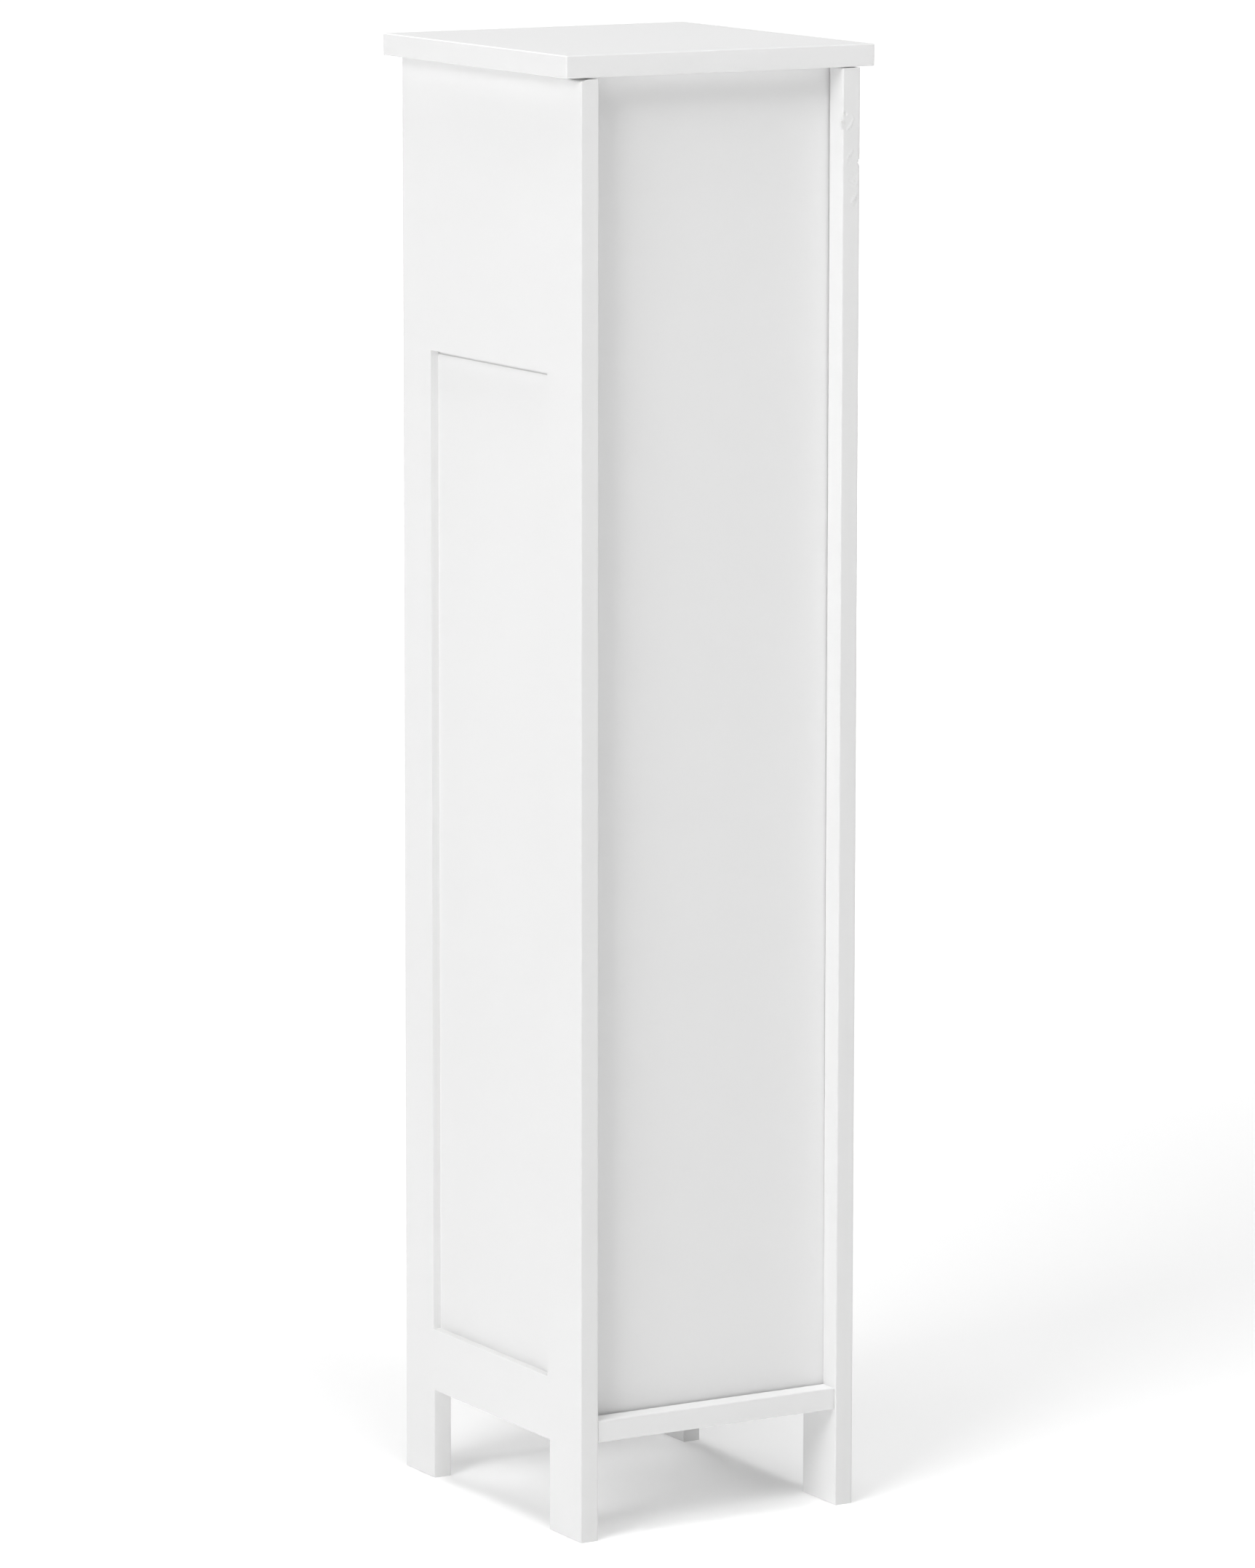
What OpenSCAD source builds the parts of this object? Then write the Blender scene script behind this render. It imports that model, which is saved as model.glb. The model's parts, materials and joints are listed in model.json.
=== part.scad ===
// Toilet roll cabinet: a slim bathroom stand of white boards on four legs.
// An open niche under the top holds one roll on a sprung roller. The cupboard
// below it, behind an inset door, holds the spare rolls on a shelf and the base.
// X runs across the front, Y from the door to the back, and Z is up.
// The origin is on the floor, under the middle of the whole outline, knob included.

/* [Cabinet] */
// Height from the floor to the top face of the top board
total_h = 800; // [760:1:900]
// Width over the two side panels
body_w = 172; // [164:1:220]
// Depth of the side panels
body_d = 195; // [180:1:240]

/* [Boards] */
// Thickness of the top, the base, the niche floor and the shelf
board_t = 12; // [11:0.5:16]
// Thickness of the side panels
side_t = 11; // [10.5:0.5:15]
// Thickness of the hardboard back panel
back_t = 3; // [2.5:0.5:4]
// How far the back panel's grooves stand in from the rear edges of the sides
back_inset = 13; // [9:0.5:16]
// How much wider the grooves are than the back panel
groove_play = 1.4; // [0.5:0.1:1.6]
// Depth of the grooves that hold the back panel
groove_depth = 5; // [3:0.5:6]
// Width of the eased arris along the board edges
edge_ease = 0.8; // [0.4:0.1:1.2]

/* [Top] */
// How far the top board stands out over each side
top_side_over = 9; // [4:0.5:20]
// How far the top board stands out over the front
top_front_over = 5; // [2:0.5:15]
// Open joint between the top board and the ends of the side panels
top_joint = 0.8; // [0.3:0.1:0.9]

/* [Legs and side panels] */
// Height of the cut-out between the legs
leg_h = 50; // [35:1:60]
// Height of the underside of the base board above the floor
base_h = 54; // [50:1:66]
// How far the base board's rear edge stands in from the rear edges of the sides
base_inset = 1; // [0.5:0.1:2]
// Width of the front leg
front_leg_w = 32; // [25:1:40]
// Width of the rear leg
rear_leg_w = 34; // [25:1:40]
// Width of the frame in front of the side recess
front_stile_w = 32; // [28:1:40]
// Width of the frame behind the side recess
rear_stile_w = 36; // [34:1:44]
// Height of the frame from the cut-out up to the side recess
bottom_rail_h = 35; // [30:1:45]
// Depth of the recesses in the sides and the door
recess_depth = 4.5; // [3:0.5:5]

/* [Niche] */
// Clear height of the roll niche
niche_h = 146; // [130:1:180]

/* [Shelf] */
// Height of the shelf above the base board
shelf_up = 276; // [180:1:380]
// Step between the shelf's pin holes
pin_step = 32; // [25:1:40]
// Diameter of the pin's stem
pin_stem_d = 5; // [4:0.5:6]
// How deep the stem goes into the side panel
pin_stem_l = 7; // [5:0.5:8]
// Diameter of the pin's head
pin_head_d = 7; // [6.5:0.5:9]
// Length of the pin's head
pin_head_l = 9; // [7:0.5:12]

/* [Door] */
// Thickness of the door
door_t = 12; // [11:0.5:15]
// Gap around the door
door_gap = 2; // [1.8:0.1:3]
// Width of the frame around the door's recess
door_frame_w = 32; // [26:1:40]

/* [Knob] */
// Diameter of the knob's head
knob_d = 25; // [18:1:30]
// Length of the knob out from the door
knob_l = 23; // [20:0.5:30]
// Diameter of the knob's foot
knob_foot_d = 14; // [12:1:16]
// Height of the knob above the middle of the door
knob_up = 60; // [0:1:160]
// Diameter of the knob's screw
knob_screw_d = 4; // [3.5:0.5:4.5]

/* [Hinges] */
// Length of each hinge
hinge_l = 40; // [36:1:50]
// From the door's ends to the nearer end of each hinge
hinge_in = 50; // [30:1:90]
// Thickness of the hinge leaves
leaf_t = 1.5; // [1.2:0.1:1.6]
// Depth of the leaf on the door's edge
door_leaf_d = 10; // [9:0.5:10.5]
// Depth of the leaf on the side panel
frame_leaf_d = 14; // [13:0.5:18]
// Length of each outer knuckle
outer_knuckle_l = 11; // [9:0.5:12]
// Diameter of the knuckles
knuckle_d = 5; // [4.6:0.1:5.6]
// Diameter of the hinge pins
hinge_pin_d = 2.4; // [2:0.1:2.8]
// Diameter of the hinge screws
hinge_screw_d = 2.5; // [2:0.1:3]

/* [Magnetic catch] */
// Width of the catch's body
catch_w = 28; // [26:1:34]
// Width over the catch's ears
catch_ears_w = 46; // [44:1:54]
// Depth of the catch's body
catch_d = 15; // [13:0.5:18]
// Height of the catch's body
catch_h = 14; // [13:0.5:16]
// From the side panel to the near ear
catch_in = 12; // [8:1:20]
// From the niche floor down to the middle of the magnet
magnet_drop = 8; // [7.5:0.1:8.5]
// Thickness of the strike plate
strike_t = 1.2; // [1:0.1:1.5]
// Width of the strike plate
strike_w = 32; // [28:1:38]
// Height of the strike plate
strike_h = 10; // [9:0.5:11]

/* [Roller] */
// From the front edge of the sides to the roller's axis
roller_in = 82; // [70:1:95]
// Diameter of the roller's outer tube
roller_d = 24; // [22:0.5:28]
// Wall of the roller's two tubes
roller_wall = 1.7; // [1.4:0.1:2]
// Length of the outer tube
roller_outer_l = 80; // [76:1:90]
// Length of the inner tube
roller_inner_l = 78; // [74:1:84]
// Diameter of the end pegs
peg_d = 8; // [6:0.5:9]
// Length of the end pegs
peg_l = 5; // [4:0.5:6]
// Length of the sockets out from the side panels
socket_l = 8; // [7.5:0.5:10]
// Diameter of the spring's wire
spring_wire = 1.2; // [0.8:0.1:1.4]
// Turns of the spring
spring_turns = 12; // [8:1:14]

/* [Fixings] */
// Diameter of the cam locks
cam_d = 12; // [11:0.5:14]
// From the end of a board to the middle of its cam
cam_in = 24; // [20:1:30]
// Diameter of the cam bolts
bolt_d = 5; // [4:0.5:5.5]
// Length of a cam bolt's screwed end
bolt_thread_l = 8; // [6:0.5:9]
// From the front and rear edges to the nearest cam bolts
bolt_edge = 45; // [42:1:50]
// Diameter of the dowels
dowel_d = 6; // [5:0.5:7]
// Length of a dowel inside the board whose end it joins
dowel_long = 16; // [12:1:20]
// Length of a dowel inside the other board
dowel_short = 8; // [6:0.5:9]
// Diameter of the wood screws of the catch, the strike and the sockets
wood_screw_d = 3; // [2.5:0.1:3.5]

/* [Clearances] */
// Clearance on each side of a fixed piece in its hole or groove
snug = 0.1; // [0.05:0.01:0.15]
// Clearance on each side of a turning piece in its bore
running = 0.1; // [0.05:0.01:0.15]
// Gap between pieces that slide past each other or meet at a stop
slide_gap = 0.3; // [0.2:0.05:0.5]

/* [Hidden] */
$fn = 48;
cut = 1;

inner_x = body_w / 2 - side_t;
front_y = (knob_l - body_d) / 2;
rear_y = front_y + body_d;
base_top = base_h + board_t;
niche_top = total_h - board_t;
side_h = niche_top - top_joint;
niche_floor_top = niche_top - niche_h;
niche_floor_z = niche_floor_top - board_t;
back_y = rear_y - back_inset - back_t - groove_play;
back_h = niche_top - base_top + 2 * groove_depth - slide_gap;
back_lean = atan((groove_play - 2 * snug) / back_h);
recess_z = leg_h + bottom_rail_h;

door_w = 2 * (inner_x - door_gap);
door_z = base_top + door_gap;
door_h = niche_floor_z - door_gap - door_z;
door_back_y = front_y + door_t;

knob_x = door_w / 2 - door_frame_w / 2;
knob_z = door_z + door_h / 2 + knob_up;
knob_edge_r = 2.5;
knob_head_l = 9;
knob_rim_x = knob_d / 2 - knob_edge_r;
knob_rim_y = knob_l - knob_head_l + knob_edge_r;
knob_rise = knob_l - knob_rim_y;
knob_dome_r = (pow(knob_rim_x, 2) + pow(knob_rise, 2) - pow(knob_edge_r, 2)) / 2
    / (knob_rise - knob_edge_r);
knob_neck_d = knob_foot_d - 5;
knob_screw_depth = 12;
knob_screw_head_d = 8;
knob_screw_head_l = 2.5;

axis_x = -(inner_x - door_gap / 2);
axis_y = front_y - sqrt(pow(knuckle_d / 2 + slide_gap, 2) - pow(door_gap / 2, 2));
hinge_zs = [door_z + hinge_in + hinge_l / 2, door_z + door_h - hinge_in - hinge_l / 2];
middle_knuckle_l = hinge_l - 2 * outer_knuckle_l - 2 * slide_gap;
pin_button_d = knuckle_d - 1.2;
pin_button_l = 0.8;
hinge_screw_head_d = 2 * hinge_screw_d;
hinge_screw_y = front_y + door_t / 2;
frame_screw_l = side_t - 2;
door_screw_l = 12;

shelf_z = base_top + shelf_up;
shelf_side_gap = 1;
shelf_y = door_back_y + 4;
pin_ys = [front_y + 24, back_y - 10];
pin_z = shelf_z - slide_gap / 3 - pin_head_d / 2;

strike_y = door_back_y + strike_t;
catch_y = strike_y + slide_gap + 0.5;
catch_x = inner_x - catch_in - catch_ears_w / 2;
catch_z = niche_floor_z - magnet_drop;
ear_t = 2.5;
ear_hole_x = (catch_w + catch_ears_w) / 4;
magnet_w = catch_w - 5;
magnet_t = 4;
magnet_d = catch_d - 4;
pole_t = 1.2;
pole_out = 0.5;
wood_screw_l = 10;
wood_screw_head_d = 2 * wood_screw_d;
wood_screw_head_l = 0.6 * wood_screw_d;

roller_y = front_y + roller_in;
roller_z = niche_floor_top + niche_h / 2;
shoulder_x = inner_x - socket_l - slide_gap;
roller_bore_d = roller_d - 2 * roller_wall;
inner_tube_d = roller_bore_d - 2 * slide_gap;
roller_end_t = 2;
socket_boss_d = peg_d + 10;
socket_plate_t = 3;
socket_plate_l = 46;
socket_screw_z = 16;
inner_tube_x = shoulder_x - roller_inner_l;
spring_d = roller_bore_d - 4;
spring_x = -shoulder_x + roller_end_t + slide_gap;
spring_l = inner_tube_x - slide_gap - spring_x;

cam_roof = 3;
cam_cavity_d = bolt_d + 0.8;
bolt_neck_d = bolt_d - 2;
bolt_head_l = 4;
bolt_ys = [front_y + bolt_edge, rear_y - bolt_edge];
dowel_y = (front_y + rear_y) / 2;

white = [0.95, 0.95, 0.95];
back_white = [0.93, 0.93, 0.93];
nickel = [0.75, 0.76, 0.78];
zinc = [0.62, 0.64, 0.67];
beech = [0.80, 0.66, 0.46];
moulded = [0.97, 0.97, 0.97];
dark_magnet = [0.20, 0.20, 0.22];

// A rectangle from the origin with its four corners cut off at 45 degrees
module eased_rect(size, ease) {
    w = size.x;
    h = size.y;
    polygon([
        [ease, 0], [w - ease, 0], [w, ease], [w, h - ease],
        [w - ease, h], [ease, h], [0, h - ease], [0, ease]
    ]);
}

// Extrudes a drawing of the Y-Z plane along X
module extrude_x(length) {
    rotate([90, 0, 90]) linear_extrude(length) children();
}

// A board whose four edges along X are eased
module eased_rail(size, ease) {
    extrude_x(size.x) eased_rect([size.y, size.z], ease);
}

// A board with all twelve edges eased
module eased_board(size, ease) {
    intersection() {
        eased_rail(size, ease);
        linear_extrude(size.z) eased_rect([size.x, size.y], ease);
        translate([0, size.y, 0])
            rotate([90, 0, 0])
            linear_extrude(size.y)
            eased_rect([size.x, size.z], ease);
    }
}

// A round bar along +X, from the origin
module bar_x(d, length) {
    rotate([0, 90, 0]) cylinder(d = d, h = length);
}

// A wood screw that points along +X, with its countersunk head's face at the origin
module countersunk_screw(d, length, head_d) {
    head_l = (head_d - d) / 2;
    rotate([0, 90, 0]) {
        cylinder(d1 = head_d, d2 = d, h = head_l);
        translate([0, 0, head_l]) cylinder(d = d, h = length - head_l);
    }
}

// The hole for that screw, a clearance larger all over and open in front of its head
module countersunk_hole(d, length, head_d) {
    head_l = (head_d - d) / 2;
    translate([-cut, 0, 0]) bar_x(head_d + 2 * snug, cut + snug);
    translate([snug, 0, 0]) countersunk_screw(d + 2 * snug, length, head_d + 2 * snug);
}

// Places children at the ends of a board that lies between the sides, with +X into the board
module at_board_ends(ys, z, sides = [-1, 1]) {
    for (s = sides, y = ys)
        translate([s * inner_x, y, z])
            mirror([s > 0 ? 1 : 0, 0, 0])
            children();
}

// Places children at the top ends of the sides, with +X down into the side panel
module at_side_tops(ys, sides = [-1, 1]) {
    for (s = sides, y = ys)
        translate([s * (inner_x + side_t / 2), y, side_h])
            mirror([s > 0 ? 1 : 0, 0, 0])
            rotate([0, 90, 0])
            rotate([180, 0, 0])
            children();
}

// The cam's board lies along +X, and its cam opens towards -Z
module cam_lock(t) {
    translate([cam_in, 0, -t / 2])
        difference() {
            cylinder(d = cam_d, h = t / 2 + cam_roof);
            translate([-cam_d, 0, t / 2]) bar_x(cam_cavity_d, cam_d + bolt_head_l);
            for (turn = [0, 90])
                rotate([0, 0, turn])
                    translate([-cam_d / 3, -0.75, -cut])
                    cube([cam_d * 2 / 3, 1.5, cut + 2]);
        }
}

module cam_pocket(t) {
    translate([cam_in, 0, -t / 2 - cut])
        cylinder(d = cam_d + 2 * snug, h = cut + t / 2 + cam_roof + snug);
    translate([-cut, 0, 0]) bar_x(bolt_d + 2 * snug, cut + cam_in);
}

module cam_bolt() {
    translate([-bolt_thread_l, 0, 0]) bar_x(bolt_d, bolt_thread_l + cam_in - cam_d / 2);
    translate([cam_in - cam_d / 2, 0, 0]) bar_x(bolt_neck_d, cam_d / 2);
    translate([cam_in - bolt_head_l / 2, 0, 0]) bar_x(bolt_d, bolt_head_l);
}

module bolt_hole() {
    translate([-bolt_thread_l - snug, 0, 0]) bar_x(bolt_d + 2 * snug, bolt_thread_l + snug + cut);
}

module dowel() {
    translate([-dowel_short, 0, 0]) bar_x(dowel_d, dowel_short + dowel_long);
}

module dowel_hole() {
    translate([-dowel_short - snug, 0, 0])
        bar_x(dowel_d + 2 * snug, dowel_short + dowel_long + 2 * snug);
}

// The groove that the back panel slides in, along the base, the top and both sides
module back_groove() {
    translate([-inner_x - groove_depth, back_y, base_top - groove_depth])
        cube([
            2 * (inner_x + groove_depth),
            back_t + groove_play,
            niche_top - base_top + 2 * groove_depth
        ]);
}

module top_board() {
    top_w = body_w + 2 * top_side_over;
    color(white)
        difference() {
            translate([-top_w / 2, front_y - top_front_over, niche_top])
                eased_board([top_w, body_d + top_front_over, board_t], edge_ease);
            back_groove();
            at_side_tops(bolt_ys) bolt_hole();
            at_side_tops([dowel_y]) dowel_hole();
        }
}

// Outline of a side panel in the Y-Z plane, with the cut-out between its legs
module side_outline() {
    polygon([
        [front_y, 0], [front_y + front_leg_w, 0],
        [front_y + front_leg_w, leg_h], [rear_y - rear_leg_w, leg_h],
        [rear_y - rear_leg_w, 0], [rear_y, 0],
        [rear_y, side_h], [front_y, side_h]
    ]);
}

// The right side panel, without what is fixed to one side only
module side_board() {
    difference() {
        intersection() {
            translate([inner_x, front_y, 0])
                linear_extrude(side_h)
                eased_rect([side_t, body_d], edge_ease);
            translate([inner_x, 0, 0]) extrude_x(side_t) side_outline();
        }
        translate([inner_x + side_t - recess_depth, front_y + front_stile_w, recess_z])
            cube([
                recess_depth + cut,
                body_d - front_stile_w - rear_stile_w,
                niche_floor_z - recess_z
            ]);
        back_groove();
        at_board_ends(bolt_ys, base_h + board_t / 2, [1]) bolt_hole();
        at_board_ends([dowel_y], base_h + board_t / 2, [1]) dowel_hole();
        at_board_ends(bolt_ys, niche_floor_z + board_t / 2, [1]) bolt_hole();
        at_board_ends([dowel_y], niche_floor_z + board_t / 2, [1]) dowel_hole();
        at_side_tops(bolt_ys, [1]) cam_pocket(side_t);
        at_side_tops([dowel_y], [1]) dowel_hole();
        at_shelf_pins([1], [-1, 0, 1])
            translate([-pin_stem_l - snug, 0, 0])
            bar_x(pin_stem_d + 2 * snug, pin_stem_l + snug + cut);
        at_socket(1) socket_screw_places() countersunk_hole(wood_screw_d, wood_screw_l, wood_screw_head_d);
    }
}

module side_panel_left() {
    color(white)
        difference() {
            mirror([1, 0, 0]) side_board();
            at_hinges() frame_screw_places()
                countersunk_hole(hinge_screw_d, frame_screw_l, hinge_screw_head_d);
        }
}

module side_panel_right() {
    color(white) side_board();
}

module base_board() {
    color(white)
        difference() {
            translate([-inner_x, front_y, base_h])
                eased_rail([2 * inner_x, body_d - base_inset, board_t], edge_ease);
            back_groove();
            at_board_ends(bolt_ys, base_h + board_t / 2) cam_pocket(board_t);
            at_board_ends([dowel_y], base_h + board_t / 2) dowel_hole();
        }
}

module niche_floor() {
    color(white)
        difference() {
            translate([-inner_x, front_y, niche_floor_z])
                eased_rail([2 * inner_x, back_y - slide_gap - front_y, board_t], edge_ease);
            at_board_ends(bolt_ys, niche_floor_z + board_t / 2) cam_pocket(board_t);
            at_board_ends([dowel_y], niche_floor_z + board_t / 2) dowel_hole();
            at_catch_screws() screw_pilot();
        }
}

// The back panel leans in its grooves, its foot against the rear walls and its top against the front
module back_panel() {
    half_w = inner_x + groove_depth - slide_gap;
    color(back_white)
        translate([-half_w, back_y + groove_play - snug, base_top - groove_depth])
        rotate([back_lean, 0, 0])
        cube([2 * half_w, back_t, back_h]);
}

// Places children at the pin holes, with -X into the side panel
module at_shelf_pins(sides, steps) {
    for (s = sides, y = pin_ys, i = steps)
        translate([s * inner_x, y, pin_z + i * pin_step])
            mirror([s > 0 ? 1 : 0, 0, 0])
            children();
}

module shelf() {
    shelf_w = 2 * (inner_x - shelf_side_gap);
    color(white)
        translate([-shelf_w / 2, shelf_y, shelf_z])
        eased_rail([shelf_w, back_y - 1 - shelf_y, board_t], edge_ease);
}

module shelf_pins() {
    color(nickel)
        at_shelf_pins([-1, 1], [0]) {
            translate([-pin_stem_l, 0, 0]) bar_x(pin_stem_d, pin_stem_l);
            bar_x(pin_head_d, pin_head_l);
        }
}

module door_panel() {
    color(white)
        difference() {
            translate([-door_w / 2, front_y, door_z])
                eased_board([door_w, door_t, door_h], edge_ease);
            translate([-door_w / 2 + door_frame_w, front_y - cut, door_z + door_frame_w])
                cube([
                    door_w - 2 * door_frame_w,
                    recess_depth + cut,
                    door_h - 2 * door_frame_w
                ]);
            translate([knob_x, door_back_y + cut, knob_z])
                rotate([90, 0, 0])
                cylinder(d = knob_screw_d + 4 * snug, h = door_t + 2 * cut);
            at_hinges() door_screw_places()
                countersunk_hole(hinge_screw_d, door_screw_l, hinge_screw_head_d);
            at_strike() countersunk_hole(wood_screw_d, wood_screw_l, wood_screw_head_d);
        }
}

// Profile of the knob: radius along X, distance from the door along Y
module knob_profile() {
    head_y = knob_l - knob_head_l;
    polygon([
        [0, 0], [knob_foot_d / 2, 0], [knob_foot_d / 2, 1.5], [knob_neck_d / 2, 5],
        [knob_neck_d / 2, head_y], [knob_rim_x, head_y],
        [knob_rim_x, knob_rim_y], [0, knob_rim_y]
    ]);
    translate([knob_rim_x, knob_rim_y]) circle(knob_edge_r);
    intersection() {
        translate([0, knob_l - knob_dome_r]) circle(knob_dome_r, $fn = 96);
        translate([0, knob_rim_y])
            square([knob_dome_r * knob_rim_x / (knob_dome_r - knob_edge_r), knob_l]);
    }
}

module door_knob() {
    color(nickel)
        translate([knob_x, front_y, knob_z])
        rotate([90, 0, 0])
        difference() {
            rotate_extrude() knob_profile();
            translate([0, 0, -cut])
                cylinder(d = knob_screw_d + 2 * snug, h = cut + knob_screw_depth + snug);
        }
}

module knob_screw() {
    color(zinc)
        translate([knob_x, door_back_y, knob_z])
        rotate([90, 0, 0]) {
            cylinder(d = knob_screw_d, h = door_t + knob_screw_depth);
            translate([0, 0, -knob_screw_head_l]) cylinder(d = knob_screw_head_d, h = knob_screw_head_l);
        }
}

module at_hinges() {
    for (z = hinge_zs)
        translate([0, 0, z])
            children();
}

// Places screws of the side panel's leaf, with +X into the panel
module frame_screw_places() {
    for (s = [-1, 1])
        translate([
            -inner_x + leaf_t,
            hinge_screw_y,
            s * (hinge_l - outer_knuckle_l) / 2
        ])
            mirror([1, 0, 0])
            children();
}

// Places screws of the door's leaf, with +X into the door
module door_screw_places() {
    for (s = [-1, 1])
        translate([
            -door_w / 2 - leaf_t,
            hinge_screw_y,
            s * middle_knuckle_l / 4
        ])
            children();
}

// A length of knuckle around the hinge's axis, from height z
module knuckle(z, length) {
    translate([axis_x, axis_y, z]) cylinder(d = knuckle_d, h = length);
}

module pin_bore(z, length, clearance) {
    translate([axis_x, axis_y, z]) cylinder(d = hinge_pin_d + 2 * clearance, h = length);
}

// The leaf on the side panel: two arms with a knuckle each, joined behind the door's leaf
module frame_leaf() {
    difference() {
        union() {
            translate([-inner_x, axis_y, -hinge_l / 2])
                cube([leaf_t, front_y + frame_leaf_d - axis_y, hinge_l]);
            for (z = [-hinge_l / 2, hinge_l / 2 - outer_knuckle_l])
                knuckle(z, outer_knuckle_l);
        }
        translate([-inner_x - cut, axis_y - knuckle_d, -hinge_l / 2 + outer_knuckle_l])
            cube([
                2 * cut + leaf_t,
                front_y + door_leaf_d + 2 * slide_gap - axis_y + knuckle_d,
                hinge_l - 2 * outer_knuckle_l
            ]);
        pin_bore(-hinge_l / 2 - cut, hinge_l + 2 * cut, snug / 2);
        frame_screw_places() countersunk_hole(hinge_screw_d, frame_screw_l, hinge_screw_head_d);
    }
}

// The leaf on the door's edge, with the middle knuckle
module door_leaf() {
    difference() {
        union() {
            translate([-door_w / 2 - leaf_t, axis_y, -middle_knuckle_l / 2])
                cube([leaf_t, front_y + door_leaf_d - axis_y, middle_knuckle_l]);
            knuckle(-middle_knuckle_l / 2, middle_knuckle_l);
        }
        pin_bore(-hinge_l / 2, hinge_l, running);
        door_screw_places() countersunk_hole(hinge_screw_d, door_screw_l, hinge_screw_head_d);
    }
}

module hinge_pin() {
    translate([axis_x, axis_y, -hinge_l / 2]) {
        cylinder(d = hinge_pin_d, h = hinge_l);
        for (z = [-pin_button_l, hinge_l])
            translate([0, 0, z]) cylinder(d = pin_button_d, h = pin_button_l);
    }
}

module upper_hinge_frame_leaf() {
    color(nickel) translate([0, 0, hinge_zs[1]]) frame_leaf();
}

module upper_hinge_door_leaf() {
    color(nickel) translate([0, 0, hinge_zs[1]]) door_leaf();
}

module upper_hinge_pin() {
    color(nickel) translate([0, 0, hinge_zs[1]]) hinge_pin();
}

module lower_hinge_frame_leaf() {
    color(nickel) translate([0, 0, hinge_zs[0]]) frame_leaf();
}

module lower_hinge_door_leaf() {
    color(nickel) translate([0, 0, hinge_zs[0]]) door_leaf();
}

module lower_hinge_pin() {
    color(nickel) translate([0, 0, hinge_zs[0]]) hinge_pin();
}

module hinge_frame_screws() {
    color(nickel)
        at_hinges() frame_screw_places()
        countersunk_screw(hinge_screw_d, frame_screw_l, hinge_screw_head_d);
}

module hinge_door_screws() {
    color(nickel)
        at_hinges() door_screw_places()
        countersunk_screw(hinge_screw_d, door_screw_l, hinge_screw_head_d);
}

// Places the catch's two screws, with +Z up into the niche floor from under the ears
module at_catch_screws() {
    for (s = [-1, 1])
        translate([catch_x + s * ear_hole_x, catch_y + catch_d / 2, niche_floor_z - ear_t])
            children();
}

module round_screw() {
    cylinder(d = wood_screw_d, h = wood_screw_l);
    translate([0, 0, -wood_screw_head_l]) cylinder(d = wood_screw_head_d, h = wood_screw_head_l);
}

module screw_pilot() {
    translate([0, 0, -cut]) cylinder(d = wood_screw_d + 2 * snug, h = cut + wood_screw_l + snug);
}

// The magnet and its two plates, drawn larger by the gap all round for their pocket
module magnet_stack(gap) {
    height = magnet_t + 2 * pole_t;
    translate([catch_x - magnet_w / 2 - gap, catch_y - cut, catch_z - height / 2 - gap])
        cube([magnet_w + 2 * gap, cut + magnet_d + gap, height + 2 * gap]);
}

module catch_case() {
    color(moulded)
        difference() {
            union() {
                translate([catch_x - catch_w / 2, catch_y, niche_floor_z - catch_h])
                    eased_board([catch_w, catch_d, catch_h], edge_ease);
                translate([catch_x - catch_ears_w / 2, catch_y + 1, niche_floor_z - ear_t])
                    eased_board([catch_ears_w, catch_d - 2, ear_t], edge_ease / 2);
            }
            magnet_stack(snug);
            at_catch_screws() screw_pilot();
        }
}

module catch_magnet() {
    color(dark_magnet)
        translate([catch_x - magnet_w / 2, catch_y, catch_z - magnet_t / 2])
        cube([magnet_w, magnet_d, magnet_t]);
}

module catch_pole_plates() {
    color(zinc)
        for (z = [-magnet_t / 2 - pole_t, magnet_t / 2])
            translate([catch_x - magnet_w / 2, catch_y - pole_out, catch_z + z])
                cube([magnet_w, magnet_d + pole_out, pole_t]);
}

module catch_screws() {
    color(zinc) at_catch_screws() round_screw();
}

// Places the strike's screw, with +X into the back of the door
module at_strike() {
    translate([catch_x, strike_y, catch_z])
        rotate([0, 0, -90])
        children();
}

module strike_plate() {
    color(zinc)
        difference() {
            translate([catch_x - strike_w / 2, door_back_y, catch_z - strike_h / 2])
                cube([strike_w, strike_t, strike_h]);
            at_strike() countersunk_hole(wood_screw_d, wood_screw_l, wood_screw_head_d);
        }
}

module strike_screw() {
    color(zinc) at_strike() countersunk_screw(wood_screw_d, wood_screw_l, wood_screw_head_d);
}

// Places children at a side's roller socket, with -X into the side panel
module at_socket(s) {
    translate([s * inner_x, roller_y, roller_z])
        mirror([s > 0 ? 1 : 0, 0, 0])
        children();
}

// Places the socket's two screws, with +X into the side panel
module socket_screw_places() {
    for (s = [-1, 1])
        translate([socket_plate_t, 0, s * socket_screw_z])
            mirror([1, 0, 0])
            children();
}

// A plate with round ends on the side panel, with a boss that takes the roller's peg
module roller_socket() {
    end_z = socket_plate_l / 2 - socket_boss_d / 2;
    difference() {
        union() {
            for (z = [-end_z, end_z])
                translate([0, 0, z]) bar_x(socket_boss_d, socket_plate_t);
            translate([0, -socket_boss_d / 2, -end_z])
                cube([socket_plate_t, socket_boss_d, 2 * end_z]);
            bar_x(socket_boss_d, socket_l);
        }
        translate([socket_l - peg_l - 1, 0, 0]) bar_x(peg_d + 2 * running, peg_l + 1 + cut);
        socket_screw_places() countersunk_hole(wood_screw_d, wood_screw_l, wood_screw_head_d);
    }
}

module roller_socket_left() {
    color(moulded) at_socket(-1) roller_socket();
}

module roller_socket_right() {
    color(moulded) at_socket(1) roller_socket();
}

module socket_screws() {
    color(zinc)
        for (s = [-1, 1])
            at_socket(s) socket_screw_places()
                countersunk_screw(wood_screw_d, wood_screw_l, wood_screw_head_d);
}

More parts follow.
